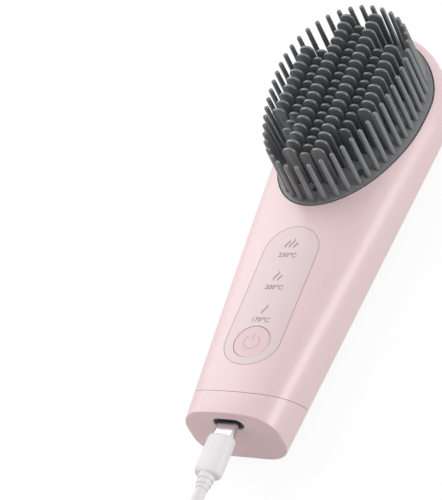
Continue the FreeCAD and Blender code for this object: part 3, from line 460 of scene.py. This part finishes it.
def bristle_tree(name, ring):
    """Geometry Nodes that set a bristle on each point of a ring, or on given points, up to the tips' crown."""
    tree = bpy.data.node_groups.new(name, "GeometryNodeTree")
    tree.interface.new_socket("Geometry", in_out="OUTPUT", socket_type="NodeSocketGeometry")
    tree.interface.new_socket("Geometry", in_out="INPUT", socket_type="NodeSocketGeometry")
    for label in ("Tip Height", "Tip Crown Radius", "Tip Drop"):
        tree.interface.new_socket(label, in_out="INPUT", socket_type="NodeSocketFloat")
    tree.interface.new_socket("Bristle", in_out="INPUT", socket_type="NodeSocketObject")
    tree.interface.new_socket("Finish", in_out="INPUT", socket_type="NodeSocketMaterial")
    if ring:
        for label in ("Half Width", "Reach to Tip", "Reach to Handle", "Widest Place"):
            tree.interface.new_socket(label, in_out="INPUT", socket_type="NodeSocketFloat")
        tree.interface.new_socket("Pins", in_out="INPUT", socket_type="NodeSocketInt")
    given = add_node(tree, "NodeGroupInput").outputs
    points = given["Geometry"]
    if ring:
        # A fine circle is drawn out into the pad's egg shape and then divided evenly.
        circle_points = 720
        circle = add_node(
            tree, "GeometryNodeCurvePrimitiveCircle", {"Resolution": circle_points, "Radius": 1.0}
        ).outputs[0]
        place = add_node(tree, "GeometryNodeInputPosition").outputs[0]
        part = add_node(tree, "ShaderNodeSeparateXYZ", {0: place}).outputs
        ahead = add_node(
            tree, "FunctionNodeCompare", {0: part["Y"], 1: 0.0}, operation="GREATER_THAN"
        ).outputs[0]
        reaches = {"Switch": ahead, "False": given["Reach to Handle"], "True": given["Reach to Tip"]}
        reach = add_node(tree, "GeometryNodeSwitch", reaches, input_type="FLOAT").outputs[0]
        x = add_node(
            tree, "ShaderNodeMath", {0: part["X"], 1: given["Half Width"]}, operation="MULTIPLY"
        ).outputs[0]
        y = add_node(
            tree, "ShaderNodeMath", {0: part["Y"], 1: reach, 2: given["Widest Place"]}, operation="MULTIPLY_ADD"
        ).outputs[0]
        egg = add_node(tree, "ShaderNodeCombineXYZ", {"X": x, "Y": y}).outputs[0]
        outline = add_node(tree, "GeometryNodeSetPosition", {"Geometry": circle, "Position": egg}).outputs[0]
        even = add_node(tree, "GeometryNodeResampleCurve", {"Curve": outline, "Count": given["Pins"]}).outputs[0]
        points = add_node(tree, "GeometryNodeCurveToPoints", {"Curve": even}, mode="EVALUATED").outputs[0]
    # Each point is lifted to the tips' crown above it, less the drop.
    place = add_node(tree, "GeometryNodeInputPosition").outputs[0]
    x = add_node(tree, "ShaderNodeSeparateXYZ", {0: place}).outputs["X"]
    across = add_node(tree, "ShaderNodeMath", {0: x, 1: 2.0}, operation="POWER").outputs[0]
    radius = given["Tip Crown Radius"]
    square = add_node(tree, "ShaderNodeMath", {0: radius, 1: 2.0}, operation="POWER").outputs[0]
    left = add_node(tree, "ShaderNodeMath", {0: square, 1: across}, operation="SUBTRACT").outputs[0]
    root = add_node(tree, "ShaderNodeMath", {0: left, 1: 0.5}, operation="POWER").outputs[0]
    fall = add_node(tree, "ShaderNodeMath", {0: radius, 1: root}, operation="SUBTRACT").outputs[0]
    low = add_node(tree, "ShaderNodeMath", {0: given["Tip Height"], 1: fall}, operation="SUBTRACT").outputs[0]
    low = add_node(tree, "ShaderNodeMath", {0: low, 1: given["Tip Drop"]}, operation="SUBTRACT").outputs[0]
    lift = add_node(tree, "ShaderNodeCombineXYZ", {"Z": low}).outputs[0]
    raised = add_node(tree, "GeometryNodeSetPosition", {"Geometry": points, "Offset": lift}).outputs[0]
    bristle = add_node(tree, "GeometryNodeObjectInfo", {"Object": given["Bristle"]}).outputs["Geometry"]
    standing = add_node(tree, "GeometryNodeInstanceOnPoints", {"Points": raised, "Instance": bristle}).outputs[0]
    real = add_node(tree, "GeometryNodeRealizeInstances", {"Geometry": standing}).outputs[0]
    done = add_node(tree, "GeometryNodeSetMaterial", {"Geometry": real, "Material": given["Finish"]}).outputs[0]
    add_node(tree, "NodeGroupOutput", {"Geometry": done})
    return tree


def planted(name, tree, points, values):
    """Runs a bristle tree on loose points and gives back the plain mesh."""
    ground = bpy.data.meshes.new(name)
    ground.from_pydata(points, [], [])
    carrier = bpy.data.objects.new(name, ground)
    scene.collection.objects.link(carrier)
    modifier = carrier.modifiers.new(name, "NODES")
    modifier.node_group = tree
    for item in tree.interface.items_tree:
        if item.in_out == "INPUT" and item.name in values:
            modifier[item.identifier] = values[item.name]
    depsgraph = bpy.context.evaluated_depsgraph_get()
    mesh = bpy.data.meshes.new_from_object(carrier.evaluated_get(depsgraph))
    carrier.modifiers.remove(modifier)
    bpy.data.objects.remove(carrier)
    bpy.data.objects.remove(values["Bristle"])
    return mesh


def one_bristle(name, shape):
    """One bristle as a helper object, for a bristle tree to set out."""
    helper = bpy.data.objects.new(name, mesh_of(name, shape))
    scene.collection.objects.link(helper)
    return helper


def lathed(name, profile, sides):
    """A round bristle about Z from its tip downwards. The profile is radius and height."""
    shape = bmesh.new()
    tip = shape.verts.new((0, 0, profile[0][1]))
    rings = []
    for radius, z in profile[1:]:
        turn = [2 * math.pi * k / sides for k in range(sides)]
        rings.append([shape.verts.new((radius * math.cos(a), radius * math.sin(a), z)) for a in turn])
    for k in range(sides):
        n = (k + 1) % sides
        shape.faces.new((tip, rings[0][k], rings[0][n]))
        for upper, lower in zip(rings, rings[1:]):
            shape.faces.new((upper[k], lower[k], lower[n], upper[n]))
    shape.faces.new(rings[-1][::-1])
    bmesh.ops.recalc_face_normals(shape, faces=shape.faces)
    return one_bristle(name, shape)


# Nylon from a polished tool: smoother than the pad, so each ball tip catches one small highlight.
# Its colour is a little lighter than the paddles' same nylon, as painted light.
pin_nylon_painted_lighter = grained(
    "pin_nylon_painted_lighter", "#777C7E", "#6E7375",
    patch=6.0, grain=0.3, rough=(0.14, 0.22), relief=0.003, Specular_IOR_Level=0.9,
)
tip_height = 0.0438
tip_crown_radius = 0.25
pin_count = 46
pin_inset = 0.0024
pin_length = 0.0243
pin_tip_radius = 0.0009
pin_foot_radius = 0.00125
pin_sides = 14
ball_steps = 6
bristle_smooth = 40
pin_profile = []
for step in range(ball_steps + 1):
    angle = math.pi / 2 * step / ball_steps
    pin_profile.append((pin_tip_radius * math.sin(angle), pin_tip_radius * (math.cos(angle) - 1)))
pin_profile.append((pin_foot_radius, -pin_length))
# The ring is counted from the left widest place towards the tip, so its half width is negative.
ring_values = {
    "Tip Height": tip_height,
    "Tip Crown Radius": tip_crown_radius,
    "Tip Drop": 0.0,
    "Bristle": lathed("pin", pin_profile, pin_sides),
    "Finish": pin_nylon_painted_lighter,
    "Half Width": pin_inset - pad_half_width,
    "Reach to Tip": pad_to_tip - pin_inset,
    "Reach to Handle": pad_to_handle - pin_inset,
    "Widest Place": pad_widest_y,
    "Pins": pin_count,
}
mesh = planted("pin_ring", bristle_tree("pin_ring", True), [], ring_values)
pin_ring = finished("pin_ring", mesh, pin_nylon_painted_lighter, "brush", bristle_smooth)
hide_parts("guard_pins")


# Tall paddles
# Four columns of flat bristles with round tops, moulded in the same nylon and pressed into the pad's sockets.
# Their edges are rounded, so each shows one thin light line along its top.


def rounded_paddle(name, width, thickness, length, edge, dome_height):
    """A flat bristle with a domed top and softened edges, its tip at the origin."""
    half = width / 2
    dome_steps = 14
    fullness = 0.92
    edge_steps = 3
    outline = [(-half, -length), (half, -length)]
    for step in range(dome_steps + 1):
        angle = math.pi * step / dome_steps
        x = half * math.copysign(abs(math.cos(angle)) ** fullness, math.cos(angle))
        outline.append((x, dome_height * (math.sin(angle) ** fullness - 1)))
    shape = bmesh.new()
    near = shape.faces.new([shape.verts.new((x, -thickness / 2, z)) for x, z in outline])
    made = bmesh.ops.extrude_face_region(shape, geom=[near])["geom"]
    far = [v for v in made if isinstance(v, bmesh.types.BMVert)]
    bmesh.ops.translate(shape, verts=far, vec=(0, thickness, 0))
    bmesh.ops.recalc_face_normals(shape, faces=shape.faces)
    rim = [e for e in shape.edges if abs(e.verts[0].co.y - e.verts[1].co.y) < thickness / 2]
    bmesh.ops.bevel(shape, geom=rim, offset=edge, segments=edge_steps, profile=0.5, affect="EDGES")
    return one_bristle(name, shape)


def rows(x, width, half_limit):
    """Rows of one column that stay inside the ring of pins, within a half length about the pad's middle."""
    reach = (abs(x) + width / 2) / (pad_half_width - field_margin)
    narrowing = math.sqrt(1 - reach**2)
    first = max(pad_widest_y - (pad_to_handle - field_margin) * narrowing, pad_middle_y - half_limit)
    last = min(pad_widest_y + (pad_to_tip - field_margin) * narrowing, pad_middle_y + half_limit)
    first_row = math.ceil((first - pad_middle_y) / row_pitch)
    last_row = math.floor((last - pad_middle_y) / row_pitch)
    return [(x, pad_middle_y + k * row_pitch, 0) for k in range(first_row, last_row + 1)]


# The same nylon from a blasted tool: duller, with a broad soft sheen, and a little darker than the pins as
# painted shade.
paddle_nylon_painted_darker = grained(
    "paddle_nylon_painted_darker", "#6F7476", "#676C6F",
    patch=6.0, grain=0.3, rough=(0.26, 0.36), relief=0.008, Specular_IOR_Level=0.9,
)
field_margin = 0.0046
pad_middle_y = 0.0423
row_pitch = 0.0039
column_pitch = 0.0114
paddle_width = 0.0054
paddle_thickness = 0.001
paddle_length = 0.0232
paddle_edge = 0.00018
paddle_dome = 0.0025
no_limit = 1.0
# No paddle stands on the two screws nearest the tip.
screw_x = 0.01395
screw_y = 0.06755
screw_room = 0.0045
paddle_places = [p for k in (-3, -1, 1, 3) for p in rows(k * column_pitch / 2, paddle_width, no_limit)]
paddle_places = [p for p in paddle_places if math.hypot(abs(p[0]) - screw_x, p[1] - screw_y) > screw_room]
paddle_values = {
    "Tip Height": tip_height,
    "Tip Crown Radius": tip_crown_radius,
    "Tip Drop": 0.0,
    "Bristle": rounded_paddle(
        "paddle", paddle_width, paddle_thickness, paddle_length, paddle_edge, paddle_dome
    ),
    "Finish": paddle_nylon_painted_darker,
}
field_tree = bristle_tree("bristle_field", False)
mesh = planted("paddle_field", field_tree, paddle_places, paddle_values)
paddle_field = finished("paddle_field", mesh, paddle_nylon_painted_darker, "brush", bristle_smooth)
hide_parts("tall_paddles")


# Heated teeth
# Three columns of shorter metal teeth that stand on the heating plate and come up through the pad between the
# paddles. They are stamped, and a dark ceramic coat is fired on to them.

# Ceramic coat: darker than the nylon and cooler in tone, with an even satin sheen.
coated_teeth = grained(
    "coated_teeth", "#666C6F", "#5E6467",
    patch=5.0, grain=0.25, rough=(0.26, 0.36), relief=0.005, Specular_IOR_Level=0.9,
)
tooth_width = 0.0044
tooth_thickness = 0.001
tooth_length = 0.0201
tooth_edge = 0.00018
tooth_dome = 0.0018
tooth_drop = 0.0023
middle_column_half = 0.03285
side_column_half = 0.01985
tooth_places = rows(0.0, tooth_width, middle_column_half)
for side in (-1, 1):
    tooth_places += rows(side * column_pitch, tooth_width, side_column_half)
tooth_values = {
    "Tip Height": tip_height,
    "Tip Crown Radius": tip_crown_radius,
    "Tip Drop": tooth_drop,
    "Bristle": rounded_paddle("tooth", tooth_width, tooth_thickness, tooth_length, tooth_edge, tooth_dome),
    "Finish": coated_teeth,
}
mesh = planted("tooth_field", field_tree, tooth_places, tooth_values)
tooth_field = finished("tooth_field", mesh, coated_teeth, "brush", bristle_smooth)
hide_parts("heated_teeth")


# Screws and ion needles
# Small steel screws, turned and thread-rolled, hold the pad to its tray and the board to its posts.
# Two ground steel needles stand in the pad's ion outlets.

# Turned steel: grey, with a shine that fine tool marks break up.
turned_steel = grained(
    "turned_steel", "#8E9093", "#7C7F82", patch=1.5, grain=0.15, rough=(0.28, 0.4), relief=0.003, Metallic=1.0
)
dress(turned_steel, "pad_screws", "board_screws", "ion_emitters")


# Heater
# An aluminium plate carries the teeth. A ceramic heater lies under it, held by a spring clamp in a resin tray,
# with a sensor bead and a cut-out fuse against the plate and two silicone wires to the board.

# Patterns of milled and rolled metal are ten times or more longer along the brush than across it.
lengthwise = (1, 0.1, 1)
lengthwise_rolled = (1, 0.08, 1)
# Milled aluminium: pale, with cutter lines along the plate.
milled_aluminium = grained(
    "milled_aluminium", "#D3D5D8", "#C2C5C9",
    patch=6.0, grain=0.4, rough=(0.3, 0.42), relief=0.004, stretch=lengthwise, Metallic=1.0,
)
dress(milled_aluminium, "heating_plate")
# Fired alumina: off-white, dry and without sheen.
fired_ceramic = grained(
    "fired_ceramic", "#EFEAE0", "#E2DBCD", patch=4.0, grain=0.3, rough=(0.55, 0.7), relief=0.01
)
dress(fired_ceramic, "ceramic_heater")
# Rolled spring steel: greyer than the plate, with rolling lines along it.
spring_steel = grained(
    "spring_steel", "#A7A9A6", "#8F928F",
    patch=5.0, grain=0.3, rough=(0.25, 0.38), relief=0.003, stretch=lengthwise_rolled, Metallic=1.0,
)
dress(spring_steel, "heater_clamp", "battery_tabs")
# Moulded phenolic resin: dark brown and matt.
moulded_resin = grained(
    "moulded_resin", "#4A3A30", "#3B2E26", patch=3.0, grain=0.4, rough=(0.5, 0.65), relief=0.02
)
dress(moulded_resin, "insulation_tray", "thermistor")
# Tinned steel: bright, under a dull bloom.
tinned_can = grained(
    "tinned_can", "#C9C7C0", "#B5B3AC", patch=2.0, grain=0.2, rough=(0.25, 0.4), relief=0.003, Metallic=1.0
)
dress(tinned_can, "thermal_fuse")
# Extruded silicone: red and rubbery, with no hard highlight.
lead_silicone = grained(
    "lead_silicone", "#C23A34", "#AE302B", patch=3.0, grain=0.3, rough=(0.45, 0.6), relief=0.006
)
dress(lead_silicone, "heater_leads")
# Poured epoxy: nearly black, with a low wet sheen.
potting_resin = grained(
    "potting_resin", "#23262B", "#1A1D21", patch=4.0, grain=0.5, rough=(0.35, 0.5), relief=0.015
)
dress(potting_resin, "ion_generator")


# Cell and cradle
# One round steel cell in a plain shrink sleeve, with welded strips on its ends. It lies in a grey moulded
# cradle that also carries the board on four posts. The switch under the button is of the same plastic.

# Shrunk film: smooth blue, with a clear highlight along the cell.
shrink_sleeve = grained(
    "shrink_sleeve", "#3F7FA8", "#356F95", patch=12.0, grain=0.5, rough=(0.22, 0.32), relief=0.004
)
dress(shrink_sleeve, "battery_cell")
# Plain grey ABS, not finished for show: evenly matt.
inner_plastic = grained(
    "inner_plastic", "#B9B7B4", "#ABA9A6", patch=10.0, grain=0.4, rough=(0.45, 0.6), relief=0.015
)
dress(inner_plastic, "battery_cradle", "button_switch", "switch_plunger")


# Control board
# A glass-epoxy board under a green solder mask, screwed to the cradle, with its soldered parts.
# Three lamps on it shine through clear moulded guides to the heat settings.

# Solder mask over glass cloth: green and half glossy, with a faint mottle.
board_laminate = grained(
    "board_laminate", "#2E6B45", "#25593A", patch=2.2, grain=0.4, rough=(0.3, 0.45), relief=0.006
)
dress(board_laminate, "control_board")
# Moulded epoxy of small parts: black and matt.
chip_resin = grained(
    "chip_resin", "#2A2A2C", "#222224", patch=1.5, grain=0.2, rough=(0.5, 0.65), relief=0.008
)
dress(chip_resin, "board_components")
# Cast lamp resin: pale yellow and glossy.
lamp_resin = grained(
    "lamp_resin", "#F3E9C8", "#EBDDB0", patch=1.2, grain=0.2, rough=(0.2, 0.3), relief=0.002
)
dress(lamp_resin, "indicator_lamps")
# Moulded acrylic: clear and smooth, so light runs through it.
clear_acrylic = grained(
    "clear_acrylic", "#F4F4F2", "#ECECEA",
    patch=5.0, grain=0.4, rough=(0.08, 0.16), relief=0.002, Transmission_Weight=0.9,
)
dress(clear_acrylic, "light_guides")


# Charging socket
# A drawn steel can in the end cap, with a black contact tongue inside. A thin pressed surround lines the opening
# in front of the can. Both are coloured dark as painted shade, so the slot has a dark metal lip.

# Dull nickel plate, coloured dark grey as painted shade of the slot: it mirrors little, so the slot reads dark.
nickel_darkened_as_shade = grained(
    "nickel_darkened_as_shade", "#43454A", "#393B40", patch=2.0, grain=0.15, rough=(0.35, 0.48), relief=0.002, Metallic=1.0
)
dress(nickel_darkened_as_shade, "charging_port")
dress(chip_resin, "port_tongue")
low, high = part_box("charging_port")
socket_middle = (low[2] + high[2]) / 2
socket_front = low[1]
# Width, height and reach in front of the can, from the lip's outer foot over its front to its inner foot.
lip_sections = [
    (11.1, 5.2, 0.0), (11.1, 5.2, 0.55), (10.8, 4.9, 0.7), (10.1, 4.2, 0.7), (9.7, 3.8, 0.55), (9.4, 3.5, 0.0),
]
lip_steps = 14
shape = bmesh.new()
loops = []
for width, height, forward in lip_sections:
    radius = in_metres(height / 2)
    straight = in_metres((width - height) / 2)
    y = socket_front - in_metres(forward)
    loop = []
    for side in (1, -1):
        for step in range(lip_steps + 1):
            angle = side * math.pi / 2 - math.pi * step / lip_steps
            x = side * straight + radius * math.cos(angle)
            loop.append(shape.verts.new((x, y, socket_middle + radius * math.sin(angle))))
    loops.append(loop)
for one, two in zip(loops, loops[1:] + loops[:1]):
    for k in range(len(one)):
        n = (k + 1) % len(one)
        shape.faces.new((one[k], one[n], two[n], two[k]))
bmesh.ops.recalc_face_normals(shape, faces=shape.faces)
finished("socket_lip", mesh_of("socket_lip", shape), nickel_darkened_as_shade, "brush", smooth_angle=40)


# Charging plug
# A drawn and plated steel shell in a white moulded grip, part-way out of its socket in the end cap.
# The grip is flat-round and softened at both ends, and a stepped collar protects the cable behind it.


def lofted(name, rings, power, sides, around):
    """A closed piece along Y about the middle of a node. Each ring is its place, width and height in metres.

    A ring's outline is an ellipse at a power of 2, and squarer above.
    """
    low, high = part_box(around)
    centre_x, centre_z = (low[0] + high[0]) / 2, (low[2] + high[2]) / 2
    shape = bmesh.new()
    loops = []
    for y, width, height in rings:
        loop = []
        for k in range(sides):
            angle = 2 * math.pi * k / sides
            c, s = math.cos(angle), math.sin(angle)
            x = width / 2 * math.copysign(abs(c) ** (2 / power), c)
            z = height / 2 * math.copysign(abs(s) ** (2 / power), s)
            loop.append(shape.verts.new((centre_x + x, y, centre_z + z)))
        loops.append(loop)
    for one, two in zip(loops, loops[1:]):
        for k in range(sides):
            n = (k + 1) % sides
            shape.faces.new((one[k], one[n], two[n], two[k]))
    shape.faces.new(loops[0])
    shape.faces.new(loops[-1][::-1])
    bmesh.ops.recalc_face_normals(shape, faces=shape.faces)
    return mesh_of(name, shape)


def grip_rings(node, far_end):
    """Rings of a grip in a node's box, softened at the end nearest the brush, and as given at its far end."""
    low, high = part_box(node)
    width, height = high[0] - low[0], high[2] - low[2]
    rings = [(high[1] - d, width * s, height * s) for d, s in soft_end]
    return rings + [(low[1] + d, width * s, height * s) for d, s in reversed(far_end)]


# Plated steel: bright, with fine drawing lines along the shell.
plated_steel = grained(
    "plated_steel", "#D6D8DB", "#C4C7CB",
    patch=4.0, grain=0.12, rough=(0.14, 0.24), relief=0.001, stretch=lengthwise, Metallic=1.0,
)
dress(plated_steel, "plug_shell", "supply_shell")
# Thermoplastic elastomer: white and satin, with no hard highlight.
white_elastomer = grained(
    "white_elastomer", "#F3F3F4", "#EBECED", patch=9.0, grain=0.4, rough=(0.36, 0.48), relief=0.006
)
# A softened end: distances from it in metres, and the share of the full width and height that is reached there.
soft_end = [(0.0, 0.84), (0.0003, 0.92), (0.0008, 0.975), (0.0016, 1.0)]
grip_sides = 48
grip_smooth = 50
plug_power = 2.7
mesh = lofted("white_plug_grip", grip_rings("plug_grip", soft_end), plug_power, grip_sides, "plug_grip")
plug_grip = finished("white_plug_grip", mesh, white_elastomer, "charging_lead", grip_smooth)
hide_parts("plug_grip")
# The collar's steps: distance behind the grip and diameter, in millimetres.
collar_steps = [
    (0.0, 5.8), (1.6, 5.8), (1.9, 5.6), (1.95, 4.9), (2.4, 4.9), (2.45, 5.4),
    (3.6, 5.3), (3.9, 5.1), (3.95, 4.6), (5.2, 4.45), (5.5, 4.2),
]
collar_power = 2
collar_sides = 32
collar_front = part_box("cable_collar")[1][1]
collar_rings = [(collar_front - in_metres(d), in_metres(w), in_metres(w)) for d, w in collar_steps]
mesh = lofted("white_collar", collar_rings, collar_power, collar_sides, "plug_grip")
plug_collar = finished("white_collar", mesh, white_elastomer, "charging_lead", smooth_angle=35)
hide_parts("cable_collar")


# Charging cable
# A white flexible cable of 4 mm over its soft extruded sleeve. It leaves the plug straight, comes down to the
# table and is put away as five turns in two layers under a strap, with the supply plug on its end.
cable_diameter = 0.004
exit_height = 0.0195
lower = 0.003
upper = 0.0076
cable_exit = (0, -0.1175, exit_height)
route = [cable_exit, (0, -0.133, exit_height), (-0.014, -0.161, lower), (-0.014, -0.177, lower)]
# The turns wind inwards on the table, climb in one half turn and wind outwards on top.
points_per_turn = 16
half_turns = 10
climbing_turn = 5
pitch = 0.0046
turn_radius = 0.0287
centre_x = route[-1][0] + turn_radius
centre_y = -0.181
going_right = True
# The smooth line runs inside its points, so they stand further out than the turn by this share.
push_out = 1 / (0.75 + 0.25 * math.cos(2 * math.pi / points_per_turn))
for half_turn in range(half_turns):
    if half_turn > climbing_turn:
        turn_radius += pitch / 2
        centre_x += pitch / 2 if going_right else -pitch / 2
    for k in range(points_per_turn // 2):
        share = (k + 0.5) / (points_per_turn // 2)
        angle = math.pi * (share + going_right)
        climb = 0 if half_turn < climbing_turn else share if half_turn == climbing_turn else 1
        reach = turn_radius * push_out
        level = lower + (upper - lower) * climb
        route.append((centre_x + reach * math.cos(angle), centre_y + reach * math.sin(angle), level))
    if half_turn < climbing_turn:
        turn_radius -= pitch / 2
        centre_x += pitch / 2 if going_right else -pitch / 2
    going_right = not going_right
tail_x = -0.0094
plug_height = 0.0046
tail = [(-0.185, upper), (-0.199, upper), (-0.212, plug_height), (-0.223, plug_height)]
route += [(tail_x, y, z) for y, z in tail]
cable_curve = bpy.data.curves.new("white_cable", "CURVE")
cable_curve.dimensions = "3D"
cable_curve.resolution_u = 6
cable_curve.bevel_depth = cable_diameter / 2
cable_curve.bevel_resolution = 4
cable_curve.use_fill_caps = True
spline = cable_curve.splines.new("NURBS")
spline.points.add(len(route) - 1)
for point, place in zip(spline.points, route):
    point.co = (*place, 1)
spline.order_u = 3
spline.use_endpoint_u = True
cable_curve.materials.append(white_elastomer)
white_cable = bpy.data.objects.new("white_cable", cable_curve)
scene.collection.objects.link(white_cable)
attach(white_cable, "charging_lead")
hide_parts("charging_cable", "cable_coil", "cable_tail")


# Strap
# A woven polyester tape round the put-away turns, welded to itself under a free tab.
# The weave runs along the tape, so it follows the mesh's own UV, in metres across and along.

# Woven polyester: threads that cross give pale dots in a darker net, with no gloss. Real threads are about
# 0.3 mm apart, and are drawn coarser so that they show. The wave texture turns by 20 radians in a unit.
warp_spacing = 0.000785
weft_spacing = 0.000604
thread_height = 0.0001
wave_radians = 20
woven_tape, tree = blank_material("woven_tape")
place = add_node(tree, "ShaderNodeUVMap", uv_map="tape").outputs[0]
warp_scale, weft_scale = (2 * math.pi / wave_radians / spacing for spacing in (warp_spacing, weft_spacing))
warp = add_node(tree, "ShaderNodeTexWave", {"Vector": place, "Scale": warp_scale}, bands_direction="X")
weft = add_node(tree, "ShaderNodeTexWave", {"Vector": place, "Scale": weft_scale}, bands_direction="Y")
threads = {0: warp.outputs[1], 1: weft.outputs[1]}
cloth = add_node(tree, "ShaderNodeMath", threads, operation="MULTIPLY").outputs[0]
tones = {0: cloth, 6: linear("#BDB9B5"), 7: linear("#E4E1DE")}
colour = add_node(tree, "ShaderNodeMix", tones, data_type="RGBA")
bump = add_node(tree, "ShaderNodeBump", {"Height": cloth, "Strength": 0.7, "Distance": thread_height})
inputs = {"Base Color": colour.outputs[2], "Roughness": 0.8, "Normal": bump.outputs[0]}
surface = add_node(tree, "ShaderNodeBsdfPrincipled", inputs)
add_node(tree, "ShaderNodeOutputMaterial", {"Surface": surface.outputs[0]})
low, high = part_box("cable_tie")
tape_half = 0.0004
tape_bend = 0.0016
tab_reach = 0.005
bend_steps = 6
rear, front = low[1] + tape_half, high[1] - tab_reach - tape_half
bottom, top = low[2] + tape_half, high[2] - tape_half
# The tape's middle line from the end of its tab round the turns, each point with the way that it faces.
line = [(high[1], top, 0, 1)]
bends = [
    (rear + tape_bend, top - tape_bend, 90),
    (rear + tape_bend, bottom + tape_bend, 180),
    (front - tape_bend, bottom + tape_bend, 270),
]
for y, z, start in bends:
    for step in range(bend_steps + 1):
        angle = math.radians(start + 90 * step / bend_steps)
        run, rise = math.cos(angle), math.sin(angle)
        line.append((y + tape_bend * run, z + tape_bend * rise, run, rise))
line.append((front, top - 2 * tape_half, 1, 0))
shape = bmesh.new()
tape_uv = shape.loops.layers.uv.new("tape")
travelled = 0
sections = []
corners = [(low[0], 1), (high[0], 1), (high[0], -1), (low[0], -1)]
for k, (y, z, run, rise) in enumerate(line):
    travelled += math.dist((y, z), line[k - 1][:2]) if k else 0
    points = [shape.verts.new((x, y + s * tape_half * run, z + s * tape_half * rise)) for x, s in corners]
    sections.append((points, travelled))
for (one, start), (two, stop) in zip(sections, sections[1:]):
    for k in range(4):
        n = (k + 1) % 4
        face = shape.faces.new((one[k], one[n], two[n], two[k]))
        for loop, along in zip(face.loops, (start, start, stop, stop)):
            loop[tape_uv].uv = (loop.vert.co.x - low[0], along)
for points, _ in (sections[0], sections[-1]):
    shape.faces.new(points)
bmesh.ops.recalc_face_normals(shape, faces=shape.faces)
mesh = mesh_of("tape_strap", shape)
tape_strap = finished("tape_strap", mesh, woven_tape, "charging_lead", smooth_angle=40)
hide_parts("cable_tie")


# Supply plug
# The flat plug at the lead's other end: a plated steel shell in a white grip with softened edges, moulded over
# the shell and the cable. The whole lead is one free cord, with its plugs, collar and strap on it.
supply_power = 5
supply_rings = grip_rings("supply_grip", soft_end[1:])
mesh = lofted("white_supply_grip", supply_rings, supply_power, grip_sides, "supply_grip")
supply_grip = finished("white_supply_grip", mesh, white_elastomer, "charging_lead", grip_smooth)
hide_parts("supply_grip")
